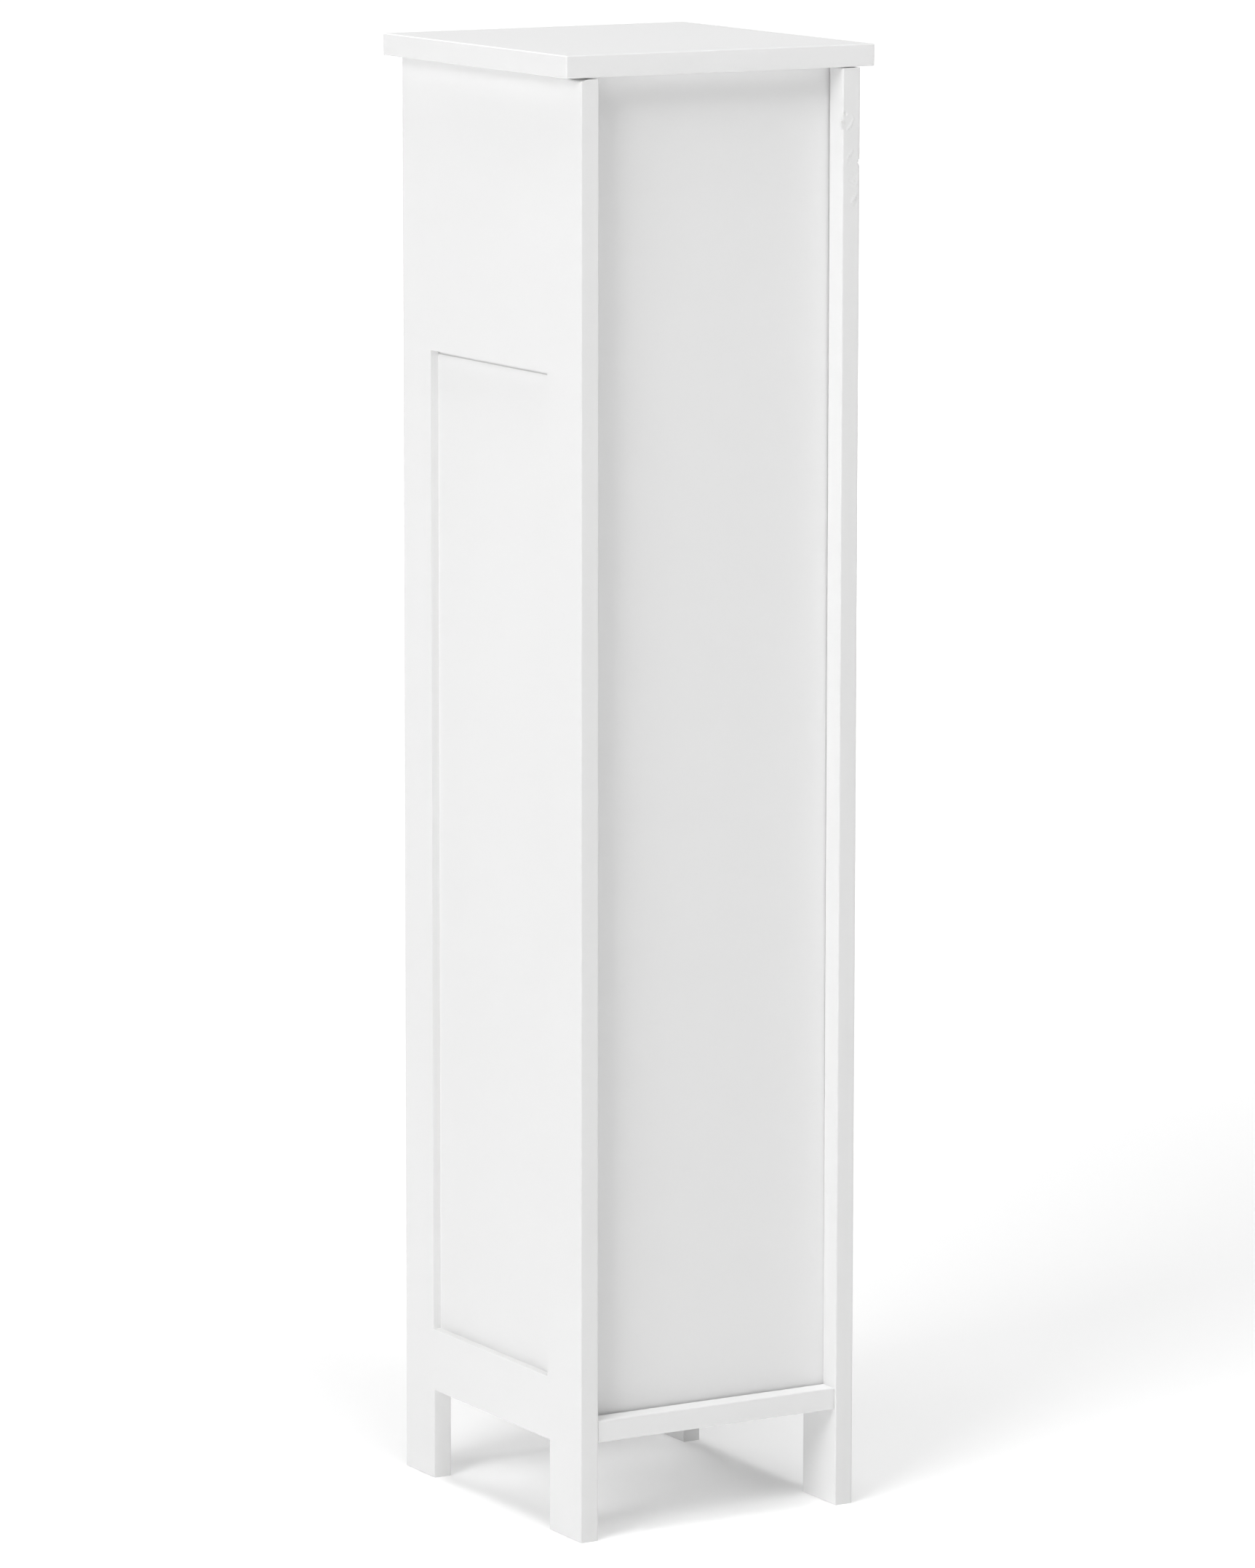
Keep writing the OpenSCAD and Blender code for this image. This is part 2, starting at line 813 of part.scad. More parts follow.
// The wide half of the roller, closed on the left where its peg is
module roller_outer_tube() {
    color(moulded)
        translate([-shoulder_x, roller_y, roller_z])
        difference() {
            union() {
                bar_x(roller_d, roller_outer_l);
                translate([-peg_l, 0, 0]) bar_x(peg_d, peg_l + cut);
            }
            translate([roller_end_t, 0, 0]) bar_x(roller_bore_d, roller_outer_l);
        }
}

// The narrow half, closed at both ends, with its peg on the right
module roller_inner_tube() {
    color(moulded)
        translate([inner_tube_x, roller_y, roller_z])
        difference() {
            union() {
                bar_x(inner_tube_d, roller_inner_l);
                translate([roller_inner_l - cut, 0, 0]) bar_x(peg_d, peg_l + cut);
            }
            translate([roller_end_t, 0, 0])
                bar_x(inner_tube_d - 2 * roller_wall, roller_inner_l - 2 * roller_end_t);
        }
}

// One tube swept along a helix around the X axis
module helix(mean_d, wire_d, length, turns, steps, sides) {
    rings = turns * steps;
    rise = length - wire_d;
    slope = atan(rise / (turns * PI * mean_d));
    points = [
        for (i = [0 : rings], k = [0 : sides - 1])
            let (
                turn = 360 * i / steps,
                side = 360 * k / sides,
                out = mean_d / 2 + wire_d / 2 * cos(side),
                along = wire_d / 2 * sin(side) * cos(slope),
                back = wire_d / 2 * sin(side) * sin(slope)
            )
            [
                wire_d / 2 + rise * i / rings + along,
                out * cos(turn) + back * sin(turn),
                out * sin(turn) - back * cos(turn)
            ]
    ];
    walls = [
        for (i = [0 : rings - 1], k = [0 : sides - 1], half = [0, 1])
            let (
                a = i * sides + k,
                b = i * sides + (k + 1) % sides,
                c = b + sides,
                d = a + sides
            )
            half == 0 ? [a, c, b] : [a, d, c]
    ];
    first_end = [for (k = [1 : sides - 2]) [0, k, k + 1]];
    last_end = [for (k = [1 : sides - 2]) [rings * sides, rings * sides + k + 1, rings * sides + k]];
    polyhedron(points, concat(walls, first_end, last_end));
}

module roller_spring() {
    color(zinc)
        translate([spring_x, roller_y, roller_z])
        helix(spring_d - spring_wire, spring_wire, spring_l, spring_turns, 18, 6);
}

module cam_locks() {
    color(zinc) {
        at_board_ends(bolt_ys, base_h + board_t / 2) cam_lock(board_t);
        at_board_ends(bolt_ys, niche_floor_z + board_t / 2) cam_lock(board_t);
        at_side_tops(bolt_ys) cam_lock(side_t);
    }
}

module cam_bolts() {
    color(zinc) {
        at_board_ends(bolt_ys, base_h + board_t / 2) cam_bolt();
        at_board_ends(bolt_ys, niche_floor_z + board_t / 2) cam_bolt();
        at_side_tops(bolt_ys) cam_bolt();
    }
}

module dowels() {
    color(beech) {
        at_board_ends([dowel_y], base_h + board_t / 2) dowel();
        at_board_ends([dowel_y], niche_floor_z + board_t / 2) dowel();
        at_side_tops([dowel_y]) dowel();
    }
}

top_board();
side_panel_left();
side_panel_right();
base_board();
niche_floor();
back_panel();
shelf();
shelf_pins();
door_panel();
door_knob();
knob_screw();
upper_hinge_frame_leaf();
upper_hinge_door_leaf();
upper_hinge_pin();
lower_hinge_frame_leaf();
lower_hinge_door_leaf();
lower_hinge_pin();
hinge_frame_screws();
hinge_door_screws();
catch_case();
catch_magnet();
catch_pole_plates();
catch_screws();
strike_plate();
strike_screw();
roller_outer_tube();
roller_inner_tube();
roller_spring();
roller_socket_left();
roller_socket_right();
socket_screws();
cam_locks();
cam_bolts();
dowels();
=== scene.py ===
# %% [markdown]
# # A slim toilet roll cabinet, from boards to lacquer
# The photograph shows the cabinet from behind and from its right: two side boards cut into legs, a top
# with an overhang, a base, and a thin back panel in grooves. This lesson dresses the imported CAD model.
# Boards and turned fittings are surfaces worked out with numpy, flat fittings are eased copies of the
# CAD parts, and every finish is a material made of nodes. No piece is fitted by eye.

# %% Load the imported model
import json
import math
from functools import partialmethod

import bmesh
import bpy
import numpy as np
from mathutils import Matrix, Vector


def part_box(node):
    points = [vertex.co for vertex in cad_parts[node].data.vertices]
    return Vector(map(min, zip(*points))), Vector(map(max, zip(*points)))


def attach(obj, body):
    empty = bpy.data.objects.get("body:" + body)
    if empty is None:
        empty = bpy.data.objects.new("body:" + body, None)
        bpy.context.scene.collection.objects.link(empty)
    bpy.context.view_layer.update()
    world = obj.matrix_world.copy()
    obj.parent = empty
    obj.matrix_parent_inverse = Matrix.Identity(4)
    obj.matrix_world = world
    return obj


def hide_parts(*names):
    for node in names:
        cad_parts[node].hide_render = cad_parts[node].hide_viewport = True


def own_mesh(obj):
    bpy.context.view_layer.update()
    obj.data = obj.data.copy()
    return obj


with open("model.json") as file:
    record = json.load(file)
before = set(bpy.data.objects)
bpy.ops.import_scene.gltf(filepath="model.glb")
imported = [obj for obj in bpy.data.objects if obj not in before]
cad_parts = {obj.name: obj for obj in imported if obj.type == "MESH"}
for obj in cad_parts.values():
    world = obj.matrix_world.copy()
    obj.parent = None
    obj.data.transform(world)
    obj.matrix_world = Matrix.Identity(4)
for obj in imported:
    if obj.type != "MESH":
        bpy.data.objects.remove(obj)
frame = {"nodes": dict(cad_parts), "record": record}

MM = 0.001
scene = bpy.context.scene
bpy.context.view_layer.update()

# %% [markdown]
# ## The camera
# The photograph was taken with a long lens from about four metres, so the cabinet's upright lines
# stay almost parallel. A camera can be placed by eye, or solved from known points. Here the corners
# of the boards were matched to the model, which gives the place, three angles and the focal length.
# A portrait picture's long side is its height, so the sensor's 36 mm stand for 2156 pixels.

# %% Place the camera
CAMERA_AT, FAR_CLIP = (2.1299, 3.6491, 1.0915), 100
AZIMUTH, ELEVATION, ROLL = 149.654, 9.402, 0.070
FOCAL_PIXELS, LONG_SIDE_PIXELS, SENSOR_MM = 10751.8, 2156, 36.0


def camera_turn(azimuth, elevation, roll):
    """Axes of a camera that looks back along the direction of these angles: right is Z x back, up is
    back x right, and the roll turns both about back."""
    a, e, r = (math.radians(angle) for angle in (azimuth, elevation, roll))
    back = Vector((math.sin(a) * math.cos(e), -math.cos(a) * math.cos(e), math.sin(e)))
    right = Vector((0, 0, 1)).cross(back).normalized()
    up = back.cross(right)
    return Matrix((
        math.cos(r) * right + math.sin(r) * up,
        -math.sin(r) * right + math.cos(r) * up,
        back,
    )).transposed().to_4x4()


camera = bpy.data.objects.new("camera", bpy.data.cameras.new("camera"))
scene.collection.objects.link(camera)
scene.camera = camera
camera.data.sensor_width = SENSOR_MM
camera.data.lens = FOCAL_PIXELS * SENSOR_MM / LONG_SIDE_PIXELS
camera.data.clip_end = FAR_CLIP
camera.matrix_world = Matrix.Translation(CAMERA_AT) @ camera_turn(AZIMUTH, ELEVATION, ROLL)
print("lens:", round(camera.data.lens, 1), "mm")

# %% [markdown]
# ## From arrays to a mesh
# A board and a turned knob are both a profile carried along a path: a grid of points with one row
# for each step. One function lists the grid's quads for all of them, another puts the arrays into
# a mesh. Points that fall together, such as a pole, are welded, so that each piece is closed.

# %% Grid and mesh helpers
WELD = 1e-7  # metres
SHARP = 35  # degrees


def grid_quads(rows, columns):
    """Corner numbers of the quads of a grid whose columns close to a ring: (row, column), the next
    column, the same in the next row, and back."""
    row = np.arange(rows - 1)[:, None] * columns
    column = np.arange(columns)[None, :]
    after = (column + 1) % columns
    above = row + columns
    corners = np.broadcast_arrays(row + column, row + after, above + after, above + column)
    return np.stack(corners, -1).reshape(-1, 4)


def placed(name, mesh, sharp):
    """A new object for the mesh, shaded smooth but for edges sharper than the angle in degrees."""
    mesh.shade_smooth()
    mesh.set_sharp_from_angle(angle=math.radians(sharp))
    piece = bpy.data.objects.new(name, mesh)
    scene.collection.objects.link(piece)
    return piece


def make_piece(name, points, faces, sharp=SHARP):
    """A welded mesh object from points and faces, smooth but for edges sharper than the angle."""
    mesh = bpy.data.meshes.new(name)
    mesh.from_pydata(points.reshape(-1, 3), [], faces)
    shell = bmesh.new()
    shell.from_mesh(mesh)
    bmesh.ops.remove_doubles(shell, verts=shell.verts, dist=WELD)
    shell.to_mesh(mesh)
    shell.free()
    return placed(name, mesh, sharp)


def tell(*pieces):
    """Prints each piece's size in millimetres and how many faces it has."""
    for piece in pieces:
        corners = np.array(piece.bound_box) / MM
        size = " x ".join(f"{length:.1f}" for length in corners.max(0) - corners.min(0))
        print(f"{piece.name}: {size} mm, {len(piece.data.polygons)} faces")


print("quads of a ring of 4 points carried along 3 steps:", len(grid_quads(3, 4)))

# %% Modifiers and cuts


def applied(piece):
    """The piece's mesh with its modifiers applied, in place of the old one."""
    done = piece.evaluated_get(bpy.context.evaluated_depsgraph_get())
    piece.data = bpy.data.meshes.new_from_object(done)
    piece.modifiers.clear()
    return piece.data


def settle(piece, cutters=()):
    """Applies the piece's modifiers, after cutting each cutter out of it, and drops the cutters. The
    cuts' own edges are marked sharp before the normals are weighted by the size of the faces."""
    for cutter in cutters:
        cut = piece.modifiers.new("cut", "BOOLEAN")
        cut.object, cut.operation = cutter, "DIFFERENCE"
        cut.solver = "EXACT" if cutter.name.startswith("bore") else "FAST"
    applied(piece).set_sharp_from_angle(angle=math.radians(SHARP))
    for cutter in cutters:
        bpy.data.objects.remove(cutter)
    even = piece.modifiers.new("even", "WEIGHTED_NORMAL")
    even.keep_sharp = True
    shell = bmesh.new()
    shell.from_mesh(applied(piece))
    open_edges = sum(not edge.is_manifold for edge in shell.edges)
    volume = shell.calc_volume() / MM ** 3
    shell.free()
    print(f"{piece.name}: {len(piece.data.polygons)} faces, {volume:.0f} mm3, {open_edges} open edges")
    return piece


# %% [markdown]
# ## Boards with rounded arrises
# The boards are 11 and 12 mm fibreboard, routed to shape, with every arris sanded to about 0.8 mm
# before the lacquer. A box with a bevel would do for plain boards. The sides have legs, so each board
# is made from its outline instead: the outline is carried through the board's thickness, and near
# both faces it steps inwards along a quarter circle. The light then catches a real round edge.

# %% Outlines
CORNER_STEPS = 5


def rounded(corners, radius, steps=CORNER_STEPS):
    """An outline with round corners: along the incoming edge a and the outgoing edge b, each corner c
    becomes c - a r (1 - sin t) + b r (1 - cos t) for t from 0 to a right angle."""
    corners = np.array(corners, float)
    radius = np.broadcast_to(np.asarray(radius, float), len(corners))[:, None, None]
    ahead = np.roll(corners, -1, 0) - corners
    ahead /= np.linalg.norm(ahead, axis=1)[:, None]
    turn = np.linspace(0, math.pi / 2, steps)[None, :, None]
    arcs = (
        corners[:, None]
        - np.roll(ahead, 1, 0)[:, None] * radius * (1 - np.sin(turn))
        + ahead[:, None] * radius * (1 - np.cos(turn))
    ).reshape(-1, 2)
    apart = np.linalg.norm(arcs - np.roll(arcs, 1, 0), axis=1) > WELD
    return arcs[apart]


def with_points(outline, extra, after):
    """The outline with extra points put in after its point number after."""
    return np.insert(outline, after + 1, extra, axis=0)


def mitres(outline):
    """Inward step of each point that moves both its edges in by one: the sum of the two inward unit
    normals over one plus their dot product."""
    ahead = np.roll(outline, -1, 0) - outline
    normal = np.stack([-ahead[:, 1], ahead[:, 0]], 1) / np.linalg.norm(ahead, axis=1)[:, None]
    before = np.roll(normal, 1, 0)
    return (normal + before) / (1 + (normal * before).sum(1))[:, None]


square = rounded([(0, 0), (1, 0), (1, 1), (0, 1)], 0.1)
print("a square with round corners:", len(square), "points, mitre of the first", mitres(square)[0])

# %% Boards from outlines
FACE_AXES = {
    "x": np.array([[0, 1, 0], [0, 0, 1], [1, 0, 0]], float),
    "y": np.array([[0, 0, 1], [1, 0, 0], [0, 1, 0]], float),
    "z": np.eye(3),
}


def eased(low, high, radius, steps=CORNER_STEPS, spans=1):
    """Levels through the thickness and the inset at each: r (1 - cos t) from a face and r (1 - sin t)
    inwards, for t from 0 to a right angle, with even spans between the two arrises."""
    turn = np.linspace(0, math.pi / 2, steps)
    rise, inset = radius * (1 - np.cos(turn)), radius * (1 - np.sin(turn))
    middle = np.linspace(low + radius, high - radius, spans + 1)[1:-1]
    return (
        np.concatenate([low + rise, middle, (high - rise)[::-1]]),
        np.concatenate([inset, middle * 0, inset[::-1]]),
    )


def ends_of(rows, columns):
    """The first and last ring of a grid, each as one polygon that faces outwards."""
    return [list(range(columns))[::-1], list(range((rows - 1) * columns, rows * columns))]


def board(name, outline, levels, insets, axis, bend=None):
    """The outline, moved in by each level's inset and set at that level along the axis. Both faces
    are closed by one polygon. A bend may then move the whole array of points."""
    flat = outline[None] + mitres(outline)[None] * insets[:, None, None]
    height = np.broadcast_to(levels[:, None, None], flat.shape[:2] + (1,))
    points = np.concatenate([flat, height], -1) @ FACE_AXES[axis]
    if bend:
        points = bend(points)
    shape = flat.shape[:2]
    return make_piece(name, points, grid_quads(*shape).tolist() + ends_of(*shape))


print("levels of a 12 mm board's arrises:", eased(0, 12, 0.8)[0].round(2))

# %% [markdown]
# ## Turned pieces
# Knobs, screws, pins, tubes and dowels are all round about an axis, and so are the holes drilled
# for them. They could be spun with a modifier. A profile of radius and height carried round a circle
# is one line of numpy, gives every copy at once, and lets a cross recess or flutes be pressed in.

# %% Turned surfaces
NEXT_TURN = 0.7  # radians that each next copy is turned further
FIRST_CORNER = 0.3  # in sides, so that no corner lies on an axis


def axes_along(direction):
    """Three unit axes whose third is the direction, which lies along X, Y or Z."""
    third = np.array(direction, float)
    first = np.roll(third, 1)
    return np.stack([first, np.cross(third, first), third])


def turned(name, profile, places, sides=48, press=None, sharp=SHARP):
    """Each (radius, height) of the profile becomes a ring (r cos t, r sin t, h). The profile runs from
    the lowest point out, up and back in. Every place is a point and the direction of its height, and
    each next one is turned further about its own height, as no two screws stop alike."""
    radius, height = np.array(profile, float).T
    turn = (np.arange(sides) + FIRST_CORNER) * 2 * math.pi / sides
    rings = np.stack([
        radius[:, None] * np.cos(turn),
        radius[:, None] * np.sin(turn),
        np.broadcast_to(height[:, None], (len(radius), sides)),
    ], -1)
    if press:
        rings = press(rings)
    frames = np.array([axes_along(direction) for _, direction in places])
    spin = np.arange(len(places))[:, None] * NEXT_TURN
    frames[:, 0], frames[:, 1] = (
        frames[:, 0] * np.cos(spin) + frames[:, 1] * np.sin(spin),
        frames[:, 1] * np.cos(spin) - frames[:, 0] * np.sin(spin),
    )
    origins = np.array([point for point, _ in places], float)
    points = np.einsum("rsi,kij->krsj", rings, frames) + origins[:, None, None]
    first = (np.arange(len(places)) * rings[..., 0].size)[:, None, None]
    faces = (grid_quads(len(radius), sides)[None] + first).reshape(-1, 4)
    return make_piece(name, points, faces.tolist(), sharp)


def arc(centre, radius, start, end, steps=6):
    """Points of a circle's arc between two angles in degrees, for use inside a profile."""
    angle = np.radians(np.linspace(start, end, steps))
    return np.stack([centre[0] + radius * np.cos(angle), centre[1] + radius * np.sin(angle)], 1)


def millimetres(*parts):
    """One profile in metres from points and arcs in millimetres."""
    return np.concatenate([np.atleast_2d(part) for part in parts]) * MM


print("axes along X:", axes_along((1, 0, 0)).tolist())

# %% [markdown]
# ## Where the fittings go
# A cabinet maker marks out once and drills everything from the same lines. The model does the same:
# the boards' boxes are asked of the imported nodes, and the few lines that a box can't tell, such as
# the legs' width or the bolts' places, are written down here in millimetres. A drill table then says
# how wide and deep each kind of hole is, so that no hole is measured twice.

# %% Marking out
INNER, SIDE_MID, OUTER = 75, 80.5, 86
FRONT, REAR = -86, 109
BASE_LOW, BASE_MID, BASE_HIGH = 54, 60, 66
FLOOR_LOW, FLOOR_MID = 630, 636
SIDE_TOP, TOP_LOW = 787.2, 788
LEG_TOP, FRONT_LEG, REAR_LEG = 50, 32, 34
RECESS_Y, RECESS_Z, RECESS_DEEP = (-54, 73), (85, 630), 4.5
GROOVE_Y, GROOVE_DEEP = (91.6, 96), 5
BOLT_YS, DOWEL_Y, CAM_IN = (-41, 64), 11.5, 24
PIN_YS, PIN_ZS = (-62, 81.6), (306.4, 338.4, 370.4)
HINGE_ZS, HINGE_SCREW_Y = (138, 558), -80
FRAME_SCREW_ZS = [z + dz for z in HINGE_ZS for dz in (-14.5, 14.5)]
DOOR_SCREW_ZS = [z + dz for z in HINGE_ZS for dz in (-4.35, 4.35)]
CATCH_X, CATCH_Y, CATCH_SCREW_XS, STRIKE_Z = 40, -64.5, (21.5, 58.5), 622
ROLLER_Y, ROLLER_Z, SOCKET_SCREW_ZS = -4, 715, (699, 731)
KNOB_X, KNOB_Z = 57, 408
ARRIS = 0.8


def at(points, direction):
    """Places in metres, all with the same direction, for points in millimetres."""
    return [(np.array(point) * MM, direction) for point in points]


def both_sides(x, spots, outwards):
    """Places at -x and x for each (y, z). They point outwards for 1 and inwards for -1."""
    return [
        place for s in (-1, 1) for place in at([(s * x, *spot) for spot in spots], (s * outwards, 0, 0))
    ]


print("between the sides:", 2 * INNER, "mm; hinge screws at", FRAME_SCREW_ZS, "and", DOOR_SCREW_ZS)

# %% Drill table and cutters
BORES = {  # kind: radius and depth in millimetres
    "bolt_in_end": (2.6, CAM_IN), "bolt_in_face": (2.6, 8.1), "bolt_in_top": (2.6, 7.3),
    "dowel_in_end": (3.1, 16.1), "dowel_in_face": (3.1, 8.1), "dowel_in_top": (3.1, 7.3),
    "cam_from_below": (6.1, 9.1), "cam_in_side": (6.1, 8.6), "shelf_pin": (2.6, 7.1),
    "socket_screw": (1.6, 7.1), "catch_screw": (1.6, 7.6), "strike_screw": (1.6, 8.9),
    "frame_leaf_screw": (1.35, 7.6), "door_leaf_screw": (1.35, 10.6), "knob_screw": (2.2, 13),
}
BORE_SIDES, SLOT_STEPS = 40, 4


def bored(kind, places, out=1.0):
    """A cutter for one kind of hole: it stands out of the surface and reaches down to the depth."""
    radius, depth = BORES[kind]
    profile = millimetres((0, -depth), (radius, -depth), (radius, out), (0, out))
    return turned("bore", profile, places, BORE_SIDES)


def slot_box(low, high, radius=0.05):
    """A cutter for grooves and recesses, between two corners, with a slight cutter radius."""
    low, high = np.array(low) * MM, np.array(high) * MM
    outline = rounded([low[:2], (high[0], low[1]), high[:2], (low[0], high[1])], radius * MM, SLOT_STEPS)
    return board("slot", outline, *eased(low[2], high[2], radius * MM, SLOT_STEPS), "z")


def board_bores(low, middle):
    """Cutters for a board between the sides: cam locks from below, bolts and dowels from both ends."""
    cams = [(s * (INNER - CAM_IN), y, low) for s in (-1, 1) for y in BOLT_YS]
    return [
        bored("cam_from_below", at(cams, (0, 0, -1))),
        bored("bolt_in_end", both_sides(INNER, [(y, middle) for y in BOLT_YS], 1)),
        bored("dowel_in_end", both_sides(INNER, [(DOWEL_Y, middle)], 1)),
    ]


print("kinds of hole:", len(BORES))

# %% [markdown]
# ## The two sides
# Each side is one board with a shallow routed recess on its outer face, cut out below into two legs.
# A slit half a millimetre deep runs under the recess's upper edge and draws the dark line there. The
# left side has knocks on its rear edge near the top: a burr on the arris, a nick at the outline and
# a few lifted flakes of lacquer. A bump map would vanish from the mesh, so the edge gets a fine grid
# there, and every knock pushes the points near a short line, less the further away they are.

# %% Knocks
KNOCKS = [  # from, to, reach, push, all in millimetres
    ((-75, 109, 756.6), (-75, 109, 758.6), 2.6, (1.5, 0.1, 0)),
    ((-75, 109, 759.4), (-75, 109, 761.6), 1.6, (0.6, 0.0, 0)),
    ((-76.9, 109, 763.0), (-76.5, 109, 763.6), 1.2, (0, -0.6, 0)),
    ((-78.0, 109, 754.8), (-80.4, 109, 757.2), 1.1, (0, 0.22, 0)),
    ((-79.4, 109, 756.6), (-81.6, 109, 760.0), 1.1, (0, 0.20, 0)),
    ((-81.6, 109, 760.6), (-81.0, 109, 762.2), 0.9, (0, 0.14, 0)),
    ((-77.4, 109, 738.4), (-81.2, 109, 743.2), 1.3, (0, 0.20, 0)),
    ((-78.6, 109, 736.6), (-81.2, 109, 739.0), 1.2, (0, -0.12, 0)),
    ((-86.6, 109.4, 736.6), (-86.6, 109.4, 737.4), 2.2, (1.4, -2.2, 0)),
    ((-80.0, 109, 725.8), (-82.0, 109, 724.6), 1.0, (0, 0.14, 0)),
    ((-83.0, 109, 724.6), (-85.0, 109, 727.4), 1.1, (0, 0.18, 0)),
    ((-79.8, 109, 727.6), (-84.2, 109, 731.0), 2.0, (0, -0.12, 0)),
    ((-81.2, 109, 716.2), (-83.6, 109, 719.8), 1.5, (0, 0.24, 0)),
    ((-82.8, 109, 714.0), (-84.8, 109, 716.6), 1.1, (0, -0.14, 0)),
    ((84.4, 109, 604.2), (83.8, 109, 605.6), 0.9, (0, 0.14, 0)),
    ((87.0, 109, 788.2), (87.0, 99, 788.2), 6.5, (0, 0, -1.1)),
]
UNEVEN = 0.35


def knocked(points):
    """Each knock moves a point by its push times a smooth step of 1 - d / reach, where d is the point's
    distance from the knock's line. Crossed sines vary the reach, so that no flake has a straight rim."""
    moved = points.copy()
    x, z = points[..., 0] / MM, points[..., 2] / MM
    uneven = 1 + UNEVEN * np.sin(2.9 * z + 1.3 * x) * np.sin(2.3 * x - 1.7 * z)
    for start, end, reach, push in KNOCKS:
        a, line = np.array(start) * MM, (np.array(end) - start) * MM
        along = np.clip(((points - a) @ line) / (line @ line), 0, 1)
        distance = np.linalg.norm(points - a - along[..., None] * line, axis=-1)
        share = np.clip(1 - distance / (reach * uneven * MM), 0, 1)
        moved += (share ** 2 * (3 - 2 * share))[..., None] * np.array(push) * MM
    return moved


print("knocks:", len(KNOCKS), "the widest reaches", max(reach for _, _, reach, _ in KNOCKS), "mm")

# %% Side boards
SIDE_TOPS = {-1: 787.6, 1: SIDE_TOP}
FINE = 0.3
FINE_ROWS = {
    -1: np.concatenate([np.arange(500, 712, 20), np.arange(712, 770, FINE)]),
    1: np.arange(596, 614, FINE),
}
FINE_BAND = np.linspace(8, 1, 15)
FROM_REAR = (9, 12, 16)
EDGE_STEPS, EDGE_SPANS = 6, 26


def side_board(name, s):
    """Outline in Y and Z, carried from face to face, where s is 1 for the right side and -1 for the
    left. The knocks get fine rows up the rear edge, three points on the top edge, and a band of rings
    that step inwards on the inner face."""
    top, rows = SIDE_TOPS[s], FINE_ROWS[s]
    corners = np.array([
        (FRONT, 0), (FRONT + FRONT_LEG, 0), (FRONT + FRONT_LEG, LEG_TOP), (REAR - REAR_LEG, LEG_TOP),
        (REAR - REAR_LEG, 0), (REAR, 0), (REAR, top), (FRONT, top),
    ], float)
    outline = with_points(corners, [(REAR - y, top) for y in FROM_REAR], 6)
    outline = with_points(outline, np.stack([rows * 0 + REAR, rows], 1), 5)
    levels, insets = eased(*sorted((s * INNER, s * OUTER)), ARRIS, EDGE_STEPS, EDGE_SPANS)
    if s > 0:
        levels, insets = np.append(FINE_BAND * 0 + levels[0], levels), np.append(FINE_BAND, insets)
    else:
        levels = np.append(levels, FINE_BAND * 0 + levels[-1])
        insets = np.append(insets, FINE_BAND[::-1])
    return board(name, outline * MM, levels * MM, insets * MM, "x", knocked)


sides = {s: side_board(name, s) for s, name in ((1, "right_side_board"), (-1, "left_side_board"))}
tell(*sides.values())

# %% Bores, slit, recess and groove of the sides
SLIT_DEEP, SLIT_TALL, SLIT_SHORT, SLIT_OVER = 0.55, 2.1, 0.4, 0.05
SLIT_RADIUS, RECESS_RADIUS = 0.02, 0.15


def side_bores(s):
    """Cutters for every hole of one side."""
    face, inwards, up = s * INNER, (-s, 0, 0), (0, 0, 1)
    bolts = [(face, y, z) for y in BOLT_YS for z in (BASE_MID, FLOOR_MID)]
    bores = [
        bored("bolt_in_face", at(bolts, inwards)),
        bored("dowel_in_face", at([(face, DOWEL_Y, z) for z in (BASE_MID, FLOOR_MID)], inwards)),
        bored("cam_in_side", at([(face, y, SIDE_TOP - CAM_IN) for y in BOLT_YS], inwards)),
        bored("bolt_in_end", at([(s * SIDE_MID, y, SIDE_TOP) for y in BOLT_YS], up), 2),
        bored("dowel_in_end", at([(s * SIDE_MID, DOWEL_Y, SIDE_TOP)], up), 2),
        bored("shelf_pin", at([(face, y, z) for y in PIN_YS for z in PIN_ZS], inwards)),
        bored("socket_screw", at([(face, ROLLER_Y, z) for z in SOCKET_SCREW_ZS], inwards)),
    ]
    if s < 0:
        screws = [(face, HINGE_SCREW_Y, z) for z in FRAME_SCREW_ZS]
        bores.append(bored("frame_leaf_screw", at(screws, inwards)))
    return bores


def side_slots(s):
    """Cutters for one side's slit, recess and groove. The slit goes first, so that the recess cuts its
    open side cleanly."""
    (front, rear), (low, high) = RECESS_Y, RECESS_Z
    bottom = s * (OUTER - RECESS_DEEP)
    recess = sorted((bottom, s * (OUTER + 2)))
    slit = sorted((bottom - s * SLIT_DEEP, bottom + s * SLIT_DEEP))
    groove = sorted((s * (INNER - 2), s * (INNER + GROOVE_DEEP)))
    return [
        slot_box(
            (slit[0], front + SLIT_SHORT, high - SLIT_TALL),
            (slit[1], rear - SLIT_SHORT, high + SLIT_OVER), SLIT_RADIUS,
        ),
        slot_box((recess[0], front, low), (recess[1], rear, high), RECESS_RADIUS),
        slot_box(
            (groove[0], GROOVE_Y[0], BASE_HIGH - GROOVE_DEEP), (groove[1], GROOVE_Y[1], TOP_LOW + 2),
        ),
    ]


right_side, left_side = (settle(side, side_bores(s) + side_slots(s)) for s, side in sides.items())

# %% [markdown]
# ## Top, base, niche floor and shelf
# These are plain boards. The top shows all its edges, so it is eased all round. The others end
# against the sides, where only a hair of the arris is left, which draws the fine line of the joint.

# %% Flat boards
BASE_SHORT, FOOT_GROOVE_WIDER = 0.35, 1.2


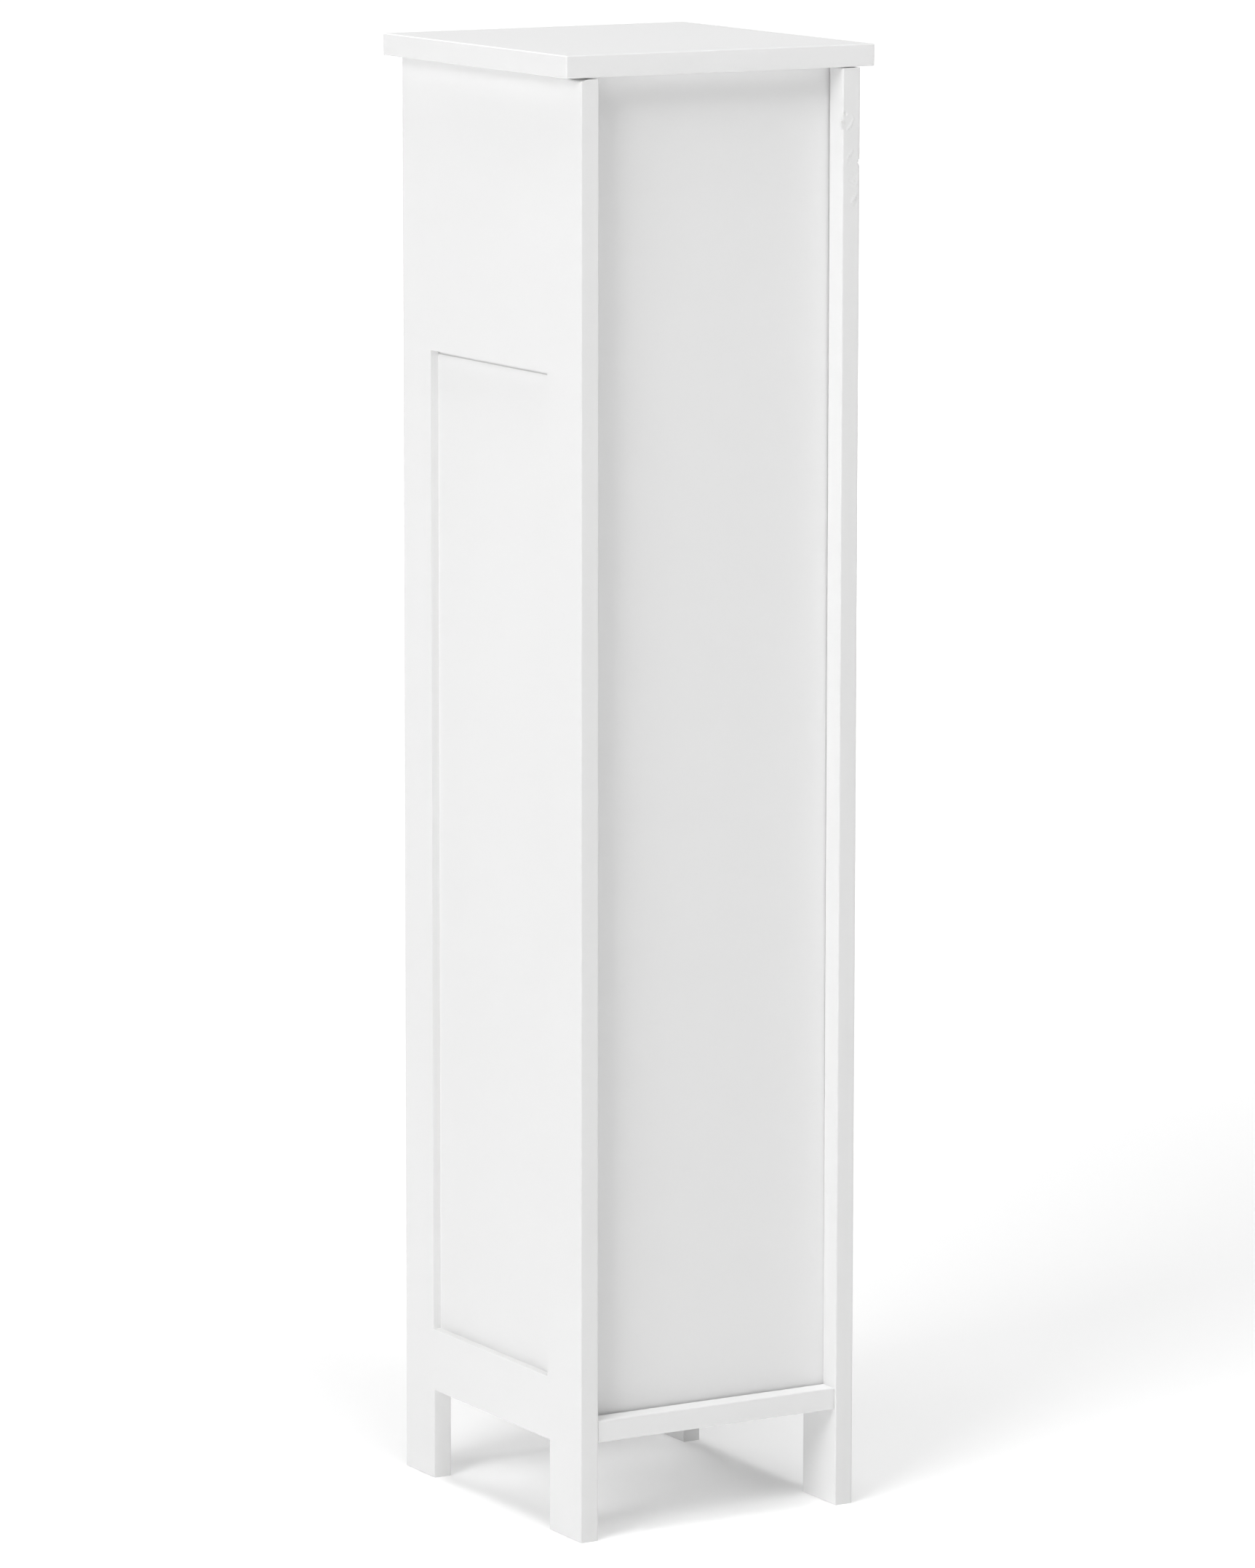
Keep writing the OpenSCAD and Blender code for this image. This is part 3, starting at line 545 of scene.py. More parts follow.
def slab(name, node, axis, ease, corner, short=0.0):
    """A board as large as the node's box: a rectangle with round corners, carried along the axis. Its
    far end may be short by some millimetres, which leaves an open joint."""
    low, high = (np.array(c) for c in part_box(node))
    across = {"x": (1, 2), "y": (2, 0), "z": (0, 1)}[axis]
    along = "xyz".index(axis)
    (a0, b0), (a1, b1) = low[list(across)], high[list(across)]
    outline = rounded([(a0, b0), (a1, b0), (a1, b1), (a0, b1)], corner * MM)
    return board(name, outline, *eased(low[along], high[along] - short * MM, ease * MM), axis)


groove_from, groove_to = (-INNER - GROOVE_DEEP, GROOVE_Y[0]), (INNER + GROOVE_DEEP, GROOVE_Y[1])
foot_groove_to = (groove_to[0], groove_to[1] + FOOT_GROOVE_WIDER)
top_bolts = [(s * SIDE_MID, y, TOP_LOW) for s in (-1, 1) for y in BOLT_YS]
top_dowels = [(s * SIDE_MID, DOWEL_Y, TOP_LOW) for s in (-1, 1)]
top = settle(slab("top_slab", "top_board", "z", ARRIS, 1.0), [
    slot_box((*groove_from, TOP_LOW - 3), (*groove_to, TOP_LOW + GROOVE_DEEP)),
    bored("bolt_in_top", at(top_bolts, (0, 0, -1))),
    bored("dowel_in_top", at(top_dowels, (0, 0, -1))),
])
base = settle(slab("base_slab", "base_board", "x", 0.5, ARRIS, BASE_SHORT), [
    slot_box((*groove_from, BASE_HIGH - GROOVE_DEEP), (*foot_groove_to, BASE_HIGH + 3)),
    *board_bores(BASE_LOW, BASE_MID),
])
catch_pilots = [(x, CATCH_Y, FLOOR_LOW) for x in CATCH_SCREW_XS]
niche = settle(slab("niche_slab", "niche_floor", "x", 0.3, ARRIS), [
    *board_bores(FLOOR_LOW, FLOOR_MID), bored("catch_screw", at(catch_pilots, (0, 0, -1))),
])
shelf = settle(slab("shelf_slab", "shelf", "x", 0.5, ARRIS))

# %% [markdown]
# ## The back panel
# A 3 mm hardboard sheet stands loosely in grooves that are 1.4 mm wider. Its foot rests against the
# rear walls and its top against the front walls, and such a sheet is never quite flat. It could be a
# thin box, but then the light would slide over it evenly. Here a fine grid is sheared and bowed.

# %% Leaning, bowed sheet
BACK_THICK, BACK_PLAY, BACK_BOW, BACK_LEAN = 3, 0.1, 0.25, 1.2
ACROSS, UPWARDS = 33, 81  # lines of the grid


def leaning(points):
    """Y moves by the lean times the height's share, and by the bow times a half sine over the width
    and one over the height."""
    x = points[..., 0] / ((INNER + GROOVE_DEEP) * MM)
    z = (points[..., 2] - BASE_HIGH * MM) / ((TOP_LOW - BASE_HIGH) * MM)
    share = np.clip(z, 0, 1)
    moved = points.copy()
    bow = BACK_BOW * np.cos(x * math.pi / 2) * np.sin(share * math.pi)
    moved[..., 1] += MM * (bow - BACK_LEAN * share)
    return moved


low, high = (np.array(c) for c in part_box("back_panel"))
xs = np.linspace(low[0], high[0], ACROSS)
rear_y = (GROOVE_Y[1] - BACK_PLAY) * MM
sheet_outline = np.concatenate([
    np.stack([xs, xs * 0 + rear_y - BACK_THICK * MM], 1), np.stack([xs[::-1], xs * 0 + rear_y], 1),
])
sheet_levels = np.linspace(low[2], high[2], UPWARDS)
sheet = settle(board("back_sheet", sheet_outline, sheet_levels, sheet_levels * 0, "z", leaning))

# %% [markdown]
# ## The door
# A shaker door: one board with a routed field inside a 32 mm frame, between the sides with a 2 mm
# gap. Five boards round a panel would be the joiner's way, but a painted door of this price is one
# board, so the field is cut into it and its holes are drilled as in the other boards.

# %% Door board
FIELD_IN, FIELD_RADIUS = 32, 0.4
door_low, door_high = (np.array(c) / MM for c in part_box("door_panel"))
(door_left, _, door_foot), (door_right, door_back, door_head) = door_low, door_high
field_low = (door_left + FIELD_IN, FRONT - 3, door_foot + FIELD_IN)
field_high = (door_right - FIELD_IN, FRONT + RECESS_DEEP, door_head - FIELD_IN)
door_screws = [(door_left, HINGE_SCREW_Y, z) for z in DOOR_SCREW_ZS]
door = settle(slab("door_slab", "door_panel", "y", ARRIS, 0.9), [
    slot_box(field_low, field_high, FIELD_RADIUS),
    bored("knob_screw", at([(KNOB_X, FRONT, KNOB_Z)], (0, -1, 0))),
    bored("door_leaf_screw", at(door_screws, (-1, 0, 0))),
    bored("strike_screw", at([(CATCH_X, door_back, STRIKE_Z)], (0, 1, 0))),
])

# %% [markdown]
# ## Fittings that keep their CAD shape
# Hinge leaves, sockets, the catch and the cam locks are right as they are, but every edge is a knife.
# A stamped or moulded edge is slightly round. A copy of the node's mesh is welded, its flat triangles
# joined, and a narrow bevel takes the edges down, so the fitting gets its line of light.

# %% Eased copies of CAD nodes
CAD_WELD, FLAT, CAD_SHARP = 1e-6, 1, 40  # metres, degrees, degrees
EASED_EDGES = {  # node: width of the eased edge in millimetres
    "upper_hinge_frame_leaf": 0.15, "upper_hinge_door_leaf": 0.15,
    "lower_hinge_frame_leaf": 0.15, "lower_hinge_door_leaf": 0.15,
    "catch_case": 0.2, "catch_pole_plates": 0.12, "strike_plate": 0.15,
    "roller_socket_left": 0.4, "roller_socket_right": 0.4, "cam_locks": 0.12,
}


def eased_copy(name, node, width):
    """A welded copy of a node's mesh, its flat faces joined and its sharp edges bevelled."""
    shell = bmesh.new()
    shell.from_mesh(frame["nodes"][node].data)
    bmesh.ops.remove_doubles(shell, verts=shell.verts, dist=CAD_WELD)
    bmesh.ops.dissolve_limit(
        shell, angle_limit=math.radians(FLAT), verts=shell.verts, edges=shell.edges,
    )
    mesh = bpy.data.meshes.new(name)
    shell.to_mesh(mesh)
    shell.free()
    piece = placed(name, mesh, CAD_SHARP)
    bevel = piece.modifiers.new("ease", "BEVEL")
    bevel.width, bevel.segments = width * MM, 2
    bevel.limit_method, bevel.angle_limit = "ANGLE", math.radians(CAD_SHARP)
    return settle(piece)


copies = {node: eased_copy(node + "_eased", node, width) for node, width in EASED_EDGES.items()}

# %% [markdown]
# ## The knob
# The knob is turned metal: a flared foot, a thin neck and a mushroom head whose rim runs smoothly into
# the dome. It could be a sphere on a cylinder, but then its highlight would break at the rim. So the
# profile is drawn from arcs that meet in line: the rim's arc ends where it touches the dome's.

# %% Knob
KNOB_LONG, HEAD_AT, NECK_R, FOOT_R = 23, 14, 4.5, 7
RIM_R, RIM_AT, DOME_R = 2.5, (10, 16.5), 17
dome_at = KNOB_LONG - DOME_R
rim_end = math.degrees(math.atan2(RIM_AT[1] - dome_at, RIM_AT[0]))
flare = np.linspace(0, math.pi, 9)
knob_profile = millimetres(
    (0, 0), arc((FOOT_R - 0.4, 0.4), 0.4, -90, 0),
    np.stack([NECK_R + (FOOT_R - NECK_R) / 2 * (1 + np.cos(flare)), 1.5 + 3.5 * flare / math.pi], 1),
    arc((NECK_R + 1.7, HEAD_AT - 1.7), 1.7, 180, 90), arc(RIM_AT, RIM_R, -90, rim_end, 14),
    arc((0, dome_at), DOME_R, rim_end, 90, 16),
)
knob = turned("knob_turned", knob_profile, at([(KNOB_X, FRONT, KNOB_Z)], (0, -1, 0)), sides=96)
tell(knob)

# %% [markdown]
# ## Screws and pins
# The hinges, catch and sockets are held by small countersunk and pan-head screws with a cross recess.
# The recess could be cut with a boolean, but the head's rings are points already, so the cross is
# pressed into them: inside either arm the height drops. The hinge and shelf pins are plain profiles.

# %% Cross recess


def cross_recess(width, length, depth, above):
    """A press for screw heads: within half the width of one axis and half the length of the other,
    with soft walls, whatever lies above the height drops by the depth."""
    soft = width * 0.35 * MM

    def inside(distance, size):
        """1 within half the size, 0 beyond, and a straight slope between."""
        return np.clip((size * MM / 2 - np.abs(distance)) / soft + 0.5, 0, 1)

    def press(rings):
        x, y, height = np.moveaxis(rings, -1, 0)
        arms = np.maximum(
            inside(x, width) * inside(y, length), inside(y, width) * inside(x, length),
        )
        rings[..., 2] -= depth * MM * arms * (height > above * MM)
        return rings

    return press


pressed = cross_recess(width=1, length=3, depth=0.5, above=-0.1)(np.zeros((1, 1, 3)))
print("the middle of a head goes to", pressed[0, 0, 2] / MM, "mm")

# %% Screws
HEAD_SHARP = 50
LEAF, DOOR_LEAF_FACE, STRIKE_FACE, KNOB_SCREW_FACE = 1.5, -74.5, -72.8, -74
SOCKET_FACE, CATCH_FACE = 72, 627.5


def countersunk(name, places, radius, long):
    """Flat-headed screws with a pointed shank below: the head's cone goes out to twice the shank's
    radius, and its face is at height 0."""
    face = np.stack([np.linspace(1.94, 0, 11) * radius, np.zeros(11)], 1)
    profile = millimetres(
        (0, -long), (radius * 0.5, 1 - long), (radius, 2.4 - long), (radius, -radius),
        (2 * radius, -0.06 * radius), face,
    )
    cross = cross_recess(radius * 0.62, radius * 2.3, radius * 0.6, -0.01)
    return turned(name, profile, places, press=cross, sharp=HEAD_SHARP)


def pan_head(name, places, radius, head, high, long):
    """Screws with a low domed head above height 0: r = head cos t, h = high sin t from its rim."""
    turn = np.linspace(0.25, math.pi / 2, 12)
    dome = np.stack([head * np.cos(turn), high * np.sin(turn)], 1)
    profile = millimetres(
        (0, -long), (radius * 0.8, -long), (radius, 0.6 - long), (radius, 0), (head * 0.97, 0), dome,
    )
    cross = cross_recess(radius * 0.55, radius * 1.9, high * 0.5, high * 0.55)
    return turned(name, profile, places, press=cross, sharp=HEAD_SHARP)


frame_places = at([(-INNER + LEAF, HINGE_SCREW_Y, z) for z in FRAME_SCREW_ZS], (1, 0, 0))
door_places = at([(DOOR_LEAF_FACE, HINGE_SCREW_Y, z) for z in DOOR_SCREW_ZS], (-1, 0, 0))
socket_places = both_sides(SOCKET_FACE, [(ROLLER_Y, z) for z in SOCKET_SCREW_ZS], -1)
catch_places = at([(x, CATCH_Y, CATCH_FACE) for x in CATCH_SCREW_XS], (0, 0, -1))
strike_places = at([(CATCH_X, STRIKE_FACE, STRIKE_Z)], (0, 1, 0))
knob_places = at([(KNOB_X, KNOB_SCREW_FACE, KNOB_Z)], (0, 1, 0))
frame_screws = countersunk("hinge_screws_frame", frame_places, 1.25, 9)
door_screw_set = countersunk("hinge_screws_door", door_places, 1.25, 12)
socket_screw_set = countersunk("socket_screw_set", socket_places, 1.5, 10)
strike_screw = countersunk("strike_screw_turned", strike_places, 1.5, 10)
catch_screw_set = pan_head("catch_screw_set", catch_places, 1.5, 3, 1.8, 10)
knob_bolt = pan_head("knob_bolt", knob_places, 2, 4, 2.5, 24)
tell(frame_screws, door_screw_set, socket_screw_set, strike_screw, catch_screw_set, knob_bolt)

# %% Hinge and shelf pins
HINGE_AXIS = (-74, -88.6153)
pin_profile = millimetres(
    (0, -20.8), (1.3, -20.8), (1.9, -20.5), (1.9, -20), (1.2, -20),
    (1.2, 20), (1.9, 20), (1.9, 20.5), (1.3, 20.8), (0, 20.8),
)
upper_pin, lower_pin = (
    turned(name, pin_profile, at([(*HINGE_AXIS, z)], (0, 0, 1)), 32)
    for name, z in zip(("upper_pin_turned", "lower_pin_turned"), reversed(HINGE_ZS))
)
shelf_pin_profile = millimetres(
    (0, -7), (2.2, -7), (2.5, -6.6), (2.5, 0), (3.5, 0), (3.5, 1.6), (3.1, 2.0), (3.1, 2.6),
    (3.5, 3.0), (3.5, 8.5), arc((3.0, 8.5), 0.5, 0, 90, 4), (0, 9),
)
shelf_pin_places = both_sides(INNER, [(y, PIN_ZS[1]) for y in PIN_YS], -1)
shelf_pegs = turned("shelf_pegs", shelf_pin_profile, shelf_pin_places, 40)
tell(upper_pin, lower_pin, shelf_pegs)

# %% [markdown]
# ## The roller and its spring
# The roller is two plastic tubes, one inside the other, with a peg at each end. A parting line runs
# along both where the mould closed, and fine rings strengthen the mouth of the wide one. The spring
# could be a curve with a bevel. Here its wire is a circle carried along a helix whose end turns close
# up.

# %% Roller tubes
PEG_R, PEG_L = 4, 5
OUTER_START, OUTER_L, OUTER_R, BORE_R = -66.7, 80, 12, 10.3
INNER_START, INNER_L, INNER_R = -11.3, 78, 10.0
RIB_HIGH, RIBS_AT = 0.35, (66, 70, 74)
LINE_NARROW = 0.03  # half the parting line's width, as the sine of its angle


def parting_line(height, low):
    """A press that lifts two opposite lines along a tube by the height, on radii above the low one:
    the lift is e to the minus square of sin t over the line's narrowness."""

    def press(rings):
        radius = np.hypot(rings[..., 0], rings[..., 1])
        turn = np.arctan2(rings[..., 1], rings[..., 0])
        ridge = np.exp(-(np.sin(turn) / LINE_NARROW) ** 2) * (radius > low * MM)
        rings[..., :2] *= 1 + (ridge * height * MM / np.maximum(radius, MM))[..., None]
        return rings

    return press


def roller_tube(name, start, profile, press):
    """A tube of the roller from its profile, with its height along X."""
    return turned(name, profile, at([(start, ROLLER_Y, ROLLER_Z)], (1, 0, 0)), 96, press)


mouth = [
    (OUTER_R + rise, rib + step) for rib in RIBS_AT
    for rise, step in ((0, 0), (RIB_HIGH, 0.3), (RIB_HIGH, 1.2), (0, 1.5))
]
outer_profile = millimetres(
    (0, -PEG_L), (PEG_R - 0.6, -PEG_L), (PEG_R, 0.6 - PEG_L), (PEG_R, -0.4), (PEG_R + 0.4, 0),
    arc((OUTER_R - 1, 1), 1, -90, 0), mouth, (OUTER_R, OUTER_L - 0.4), (OUTER_R - 0.4, OUTER_L),
    (BORE_R + 0.3, OUTER_L), (BORE_R, OUTER_L - 0.3), (BORE_R, 2), (0, 2),
)
inner_profile = millimetres(
    (0, 0), (INNER_R - 0.4, 0), (INNER_R, 0.4), (INNER_R, INNER_L - 0.8),
    arc((INNER_R - 0.8, INNER_L - 0.8), 0.8, 0, 90), (PEG_R + 0.4, INNER_L), (PEG_R, INNER_L + 0.4),
    (PEG_R, INNER_L + PEG_L - 0.6), (PEG_R - 0.6, INNER_L + PEG_L), (0, INNER_L + PEG_L),
)
outer_tube = roller_tube("outer_tube", OUTER_START, outer_profile, parting_line(0.12, 11.5))
inner_tube = roller_tube("inner_tube", INNER_START, inner_profile, parting_line(0.1, 9.8))
tell(outer_tube, inner_tube)

# %% Spring
SPRING_FROM, SPRING_LONG, SPRING_MEAN, WIRE_R = -64.4, 52.6, 7.7, 0.6
TURNS, END_TURNS, TURN_STEPS, WIRE_SIDES = 12, 1.0, 48, 12


def spring_wire(steps, sides):
    """Wire circle around a helix about X. The place along X rises with the turn, slowly over the end
    turns, as a clipped ramp between them. The circle stands on the radius and the direction x radius."""
    t = np.linspace(0, TURNS, steps)
    turn = 2 * math.pi * t
    ramp = np.clip((t - END_TURNS) / (TURNS - 2 * END_TURNS), 0, 1)
    ends = np.clip(t / END_TURNS, 0, 1) + np.clip((t - TURNS + END_TURNS) / END_TURNS, 0, 1)
    x = WIRE_R + 2 * WIRE_R * ends + ramp * (SPRING_LONG - 6 * WIRE_R)
    line = np.stack([x, SPRING_MEAN * np.cos(turn), SPRING_MEAN * np.sin(turn)], 1)
    ahead = np.gradient(line, axis=0)
    ahead /= np.linalg.norm(ahead, axis=1)[:, None]
    out = np.stack([turn * 0, np.cos(turn), np.sin(turn)], 1)
    side = np.cross(ahead, out)
    around = np.linspace(0, 2 * math.pi, sides, endpoint=False)[None, :, None]
    points = line[:, None] + WIRE_R * (np.cos(around) * out[:, None] + np.sin(around) * side[:, None])
    return (points + (SPRING_FROM, ROLLER_Y, ROLLER_Z)) * MM


wire = spring_wire(TURNS * TURN_STEPS + 1, WIRE_SIDES)
wire_faces = grid_quads(*wire.shape[:2]).tolist() + ends_of(*wire.shape[:2])
spring = make_piece("spring_wire", wire, wire_faces)
tell(spring)

# %% [markdown]
# ## Dowels
# The dowels are hidden in the joints, but each is a piece of its own. They could stay plain cylinders.
# Beech dowels are fluted, so that glue and air can get out: their radius dips along twelve lines.

# %% Fluted dowels
FLUTES, FLUTE_DEEP = 12, 0.08
DOWEL_SIDES = 6 * FLUTES


def fluted(rings):
    """A press that scales each ring by 1 - depth w, with w = (1 + cos(count t)) / 2 to the fourth."""
    turn = np.arctan2(rings[..., 1], rings[..., 0])
    dip = ((1 + np.cos(FLUTES * turn)) / 2) ** 4
    rings[..., :2] *= (1 - FLUTE_DEEP * dip)[..., None]
    return rings


dowel_profile = millimetres((0, -8), (2.4, -8), (3, -7.2), (3, 15.2), (2.4, 16), (0, 16))
level_places = both_sides(INNER, [(DOWEL_Y, z) for z in (BASE_MID, FLOOR_MID)], -1)
upright_places = at([(s * SIDE_MID, DOWEL_Y, SIDE_TOP) for s in (-1, 1)], (0, 0, -1))
level_dowels = turned("level_dowels", dowel_profile, level_places, DOWEL_SIDES, fluted)
upright_dowels = turned("upright_dowels", dowel_profile, upright_places, DOWEL_SIDES, fluted)
tell(level_dowels, upright_dowels)

# %% [markdown]
# ## Shader maths as expressions
# A finish is a network of nodes. Added one by one they hide the idea, so a small class wraps an output
# socket: `1 - wear * 2` then adds its Math nodes by itself, and one method adds every other node.

# %% Wire: a socket that can be reckoned with


class Wire:
    """An output socket. Operators on it add Math nodes, and node() adds any other node."""

    def __init__(self, socket):
        self.socket = socket

    def node(self, kind, settings, inputs, output=0):
        """Adds a node: its settings first, then a value or a link for each named or numbered input."""
        tree = self.socket.id_data
        added = tree.nodes.new(kind)
        for key, value in settings.items():
            setattr(added, key, value)
        for key, value in inputs.items():
            if isinstance(value, Wire):
                tree.links.new(value.socket, added.inputs[key])
            else:
                added.inputs[key].default_value = value
        return Wire(added.outputs[output]) if added.outputs else None

    def math(self, operation, other, **settings):
        """A Math node on this value and the other."""
        return self.node("ShaderNodeMath", {"operation": operation, **settings}, {0: self, 1: other})

    __add__ = __radd__ = partialmethod(math, "ADD")
    __sub__ = partialmethod(math, "SUBTRACT")
    __mul__ = __rmul__ = partialmethod(math, "MULTIPLY")
    least, most = partialmethod(math, "MINIMUM"), partialmethod(math, "MAXIMUM")

    def __rsub__(self, other):
        return self.node("ShaderNodeMath", {"operation": "SUBTRACT"}, {0: other, 1: self})

    def held(self):
        """The value kept between 0 and 1."""
        return self.math("ADD", 0, use_clamp=True)

    def part(self, axis):
        """One of the three numbers of a place or direction: 0 is X, 1 is Y and 2 is Z."""
        return self.node("ShaderNodeSeparateXYZ", {}, {0: self}, axis)

    def measure(self, operation, *others):
        """The number that a Vector Math operation makes from this place and others."""
        values = dict(enumerate((self, *others)))
        return self.node("ShaderNodeVectorMath", {"operation": operation}, values, 1)

    def stretched(self, x, y, z):
        """A place in metres, scaled along each axis."""
        return self.node("ShaderNodeMapping", {}, {0: self, 3: (x, y, z)})

    def noise(self, scale, detail=2.0, rough=0.5):
        """Cloudy noise around 0.5, its lumps one over the scale apart."""
        values = {"Vector": self, "Scale": scale, "Detail": detail, "Roughness": rough}
        return self.node("ShaderNodeTexNoise", {}, values)

    def cells(self, scale):
        """Distance to the nearest of scattered points, about one over the scale apart."""
        return self.node("ShaderNodeTexVoronoi", {"feature": "F1"}, {"Vector": self, "Scale": scale})

    def ramp(self, low, high, start=0.0, end=1.0):
        """The value's share between low and high, smooth at both, as a value from start to end."""
        values = {0: self, 1: low, 2: high, 3: start, 4: end}
        return self.node("ShaderNodeMapRange", {"interpolation_type": "SMOOTHSTEP"}, values)

    def blend(self, one, other):
        """A colour from one to the other as this value goes from 0 to 1."""
        one, other = (c if isinstance(c, Wire) else (*c, 1) for c in (one, other))
        return self.node("ShaderNodeMix", {"data_type": "RGBA"}, {0: self, 6: one, 7: other}, 2)

    def bump(self, depth, strength=1.0, below=None):
        """A normal from this height, with its full depth in millimetres, on top of another bump."""
        inputs = {"Height": self, "Distance": depth * MM, "Strength": strength}
        if below:
            inputs["Normal"] = below
        return self.node("ShaderNodeBump", {}, inputs)


def finish(name, shader):
    """A material whose shader is worked out from the place on the object, in metres."""
    material = bpy.data.materials.new(name)
    material.use_nodes = True
    material.node_tree.nodes.clear()
    place = Wire(material.node_tree.nodes.new("ShaderNodeTexCoord").outputs["Object"])
    place.node("ShaderNodeOutputMaterial", {}, {"Surface": shader(place)})
    return material


def surface(place, **sockets):
    """The main shader, with socket names written with _ for spaces."""
    values = {key.replace("_", " "): value for key, value in sockets.items()}
    return place.node("ShaderNodeBsdfPrincipled", {}, values)


# %% [markdown]
# ## White lacquer
# The boards are sprayed with a satin white lacquer. Close up it has a slight orange peel about 1.6 mm
# from lump to lump, a few specks of dust, and thinner, shinier paint where hands rub the arrises.
# The rub could be painted as an image. Here it follows from the board's own box: near an edge, two of
# the three distances to the box's faces are small, so the second smallest one tells the edge.

# %% Where an edge is


def edge_distance(place, low, high):
    """Second smallest of the three distances to a box's faces, in metres: the larger of min(a, b) and
    min(max(a, b), c)."""
    parts = [place.part(i) for i in range(3)]
    a, b, c = ((part - low[i]).least(high[i] - part) for i, part in enumerate(parts))
    return a.least(b).most(a.most(b).least(c))


def mark_cuts(piece, axis):
    """Stores how far each face is a cut edge: 1 - n * n, with n the normal's share along the board's
    thickness. It is 0 on both broad faces and 1 on edges, recess walls and the insides of holes.
    Tells how many faces are cut."""
    mesh = piece.data
    normals = np.empty(len(mesh.polygons) * 3)
    mesh.polygons.foreach_get("normal", normals)
    cut = 1 - normals.reshape(-1, 3)[:, "xyz".index(axis)] ** 2
    mesh.attributes.new("cut", "FLOAT", "FACE").data.foreach_set("value", cut)
    return int((cut > 0.5).sum())


BOARDS = {  # node: its board and the axis of its thickness
    "side_panel_right": (right_side, "x"), "side_panel_left": (left_side, "x"),
    "top_board": (top, "z"), "base_board": (base, "z"), "niche_floor": (niche, "z"),
    "shelf": (shelf, "z"), "door_panel": (door, "y"),
}
cut_faces = {node: mark_cuts(piece, axis) for node, (piece, axis) in BOARDS.items()}
print("faces on cut edges:", cut_faces)

# %% Lacquer on the boards
# The greyer lacquer colour serves rubbed arrises, dust and clouds, and also painted shade on cut edges;
# the last colour serves flaked specks and painted shade at the knocks.
LACQUER_WHITE, LACQUER_WORN_AND_SHADED, FLAKED_AND_SHADED = (0.865, 0.865, 0.865), (0.79, 0.79, 0.787), (0.70, 0.695, 0.685)
CUT_EDGE_SHADE = {"side_panel_right": 0.5, "side_panel_left": 0.5}  # how much painted shade greys a cut edge
LESS_CUT_EDGE_SHADE = 0.1  # on all other boards
FLAKE_AND_SHADE_SPOTS = {  # node: places and reaches of greyed specks, in metres: flaked lacquer and painted shade
    "side_panel_left": [
        ((-0.0752, 0.1085, 0.7590), 0.0030), ((-0.0767, 0.109, 0.7633), 0.0012),
        ((-0.0795, 0.109, 0.7405), 0.0014), ((-0.0862, 0.1092, 0.737), 0.0016),
        ((-0.083, 0.109, 0.7275), 0.0014), ((-0.0832, 0.109, 0.7175), 0.0016),
    ],
}


def lacquer(node, cut_edge_shade, flake_and_shade_spots):
    """White lacquer for the board of one node. Orange peel and dust go to the bump; rubbed arrises, dust
    and clouds make it greyer, and painted shade greys the cut edges. Near the knocks it is greyed in
    specks, as unpainted board where lacquer flaked and as painted shade on the burr and in the nick."""
    low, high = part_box(node)

    def shader(place):
        peel = place.noise(620, 1.5)
        cloud = place.noise(9, 2.0)
        dust = place.cells(260).ramp(0.0, 0.1, 1.0, 0.0) * place.noise(70, 1.0).ramp(0.62, 0.72)
        worn = place.noise(120, 3.0).ramp(0.35, 0.7)
        rub = edge_distance(place, low, high).ramp(0.0002, 0.0022, 1.0, 0.0) * worn
        cut = {"attribute_type": "GEOMETRY", "attribute_name": "cut"}
        edge = place.node("ShaderNodeAttribute", cut, {}, 2)
        # Painted shade: faces across the board, such as cut edges, recess walls and the insides of
        # holes, are greyed by the cut attribute, on top of wear, dust and clouds.
        marks_and_shade = (rub * 0.25 + dust * 0.25 + cloud * 0.25 + edge * cut_edge_shade).held()
        colour = marks_and_shade.blend(LACQUER_WHITE, LACQUER_WORN_AND_SHADED)
        bare_and_shade = None
        # Painted shade in part: near the knocks the colour greys in specks, as unpainted board where
        # lacquer flaked and as shade on the burr and in the nick.
        for centre, reach in flake_and_shade_spots:
            near = place.measure("DISTANCE", centre).ramp(reach * 0.35, reach, 1.0, 0.0)
            specks = near * place.noise(900, 3.0).ramp(0.42, 0.56)
            bare_and_shade = specks if bare_and_shade is None else bare_and_shade.most(specks)
        if bare_and_shade:
            colour = (bare_and_shade * 0.5).blend(colour, FLAKED_AND_SHADED)
        rough = 0.46 + cloud * 0.10 - rub * 0.10 + peel * 0.04 + edge * 0.08
        normal = dust.bump(0.03, 0.5, below=peel.bump(0.012))
        return surface(
            place, Base_Color=colour, Roughness=rough, Normal=normal,
            Coat_Weight=0.12, Coat_Roughness=0.3,
        )

    return finish("lacquer_" + node, shader)


lacquers = {
    node: lacquer(node, CUT_EDGE_SHADE.get(node, LESS_CUT_EDGE_SHADE), FLAKE_AND_SHADE_SPOTS.get(node, ())) for node in BOARDS
}
print("lacquers:", len(lacquers))

# %% [markdown]
# ## The other finishes
# The back sheet is painted hardboard: flatter and greyer, with a fine roller stipple. Satin nickel is
# brushed, so its bump is a noise stretched across the strokes. Zinc plate is duller and clouded. The
# plastic is moulded, with flow lines and a fine spark texture. Beech has short dark flecks along
# the grain. The magnet is a gritty black ferrite. Photographed textures would stretch and repeat on
# such pieces, while noise at the real scale fits them all.

# %% Painted hardboard


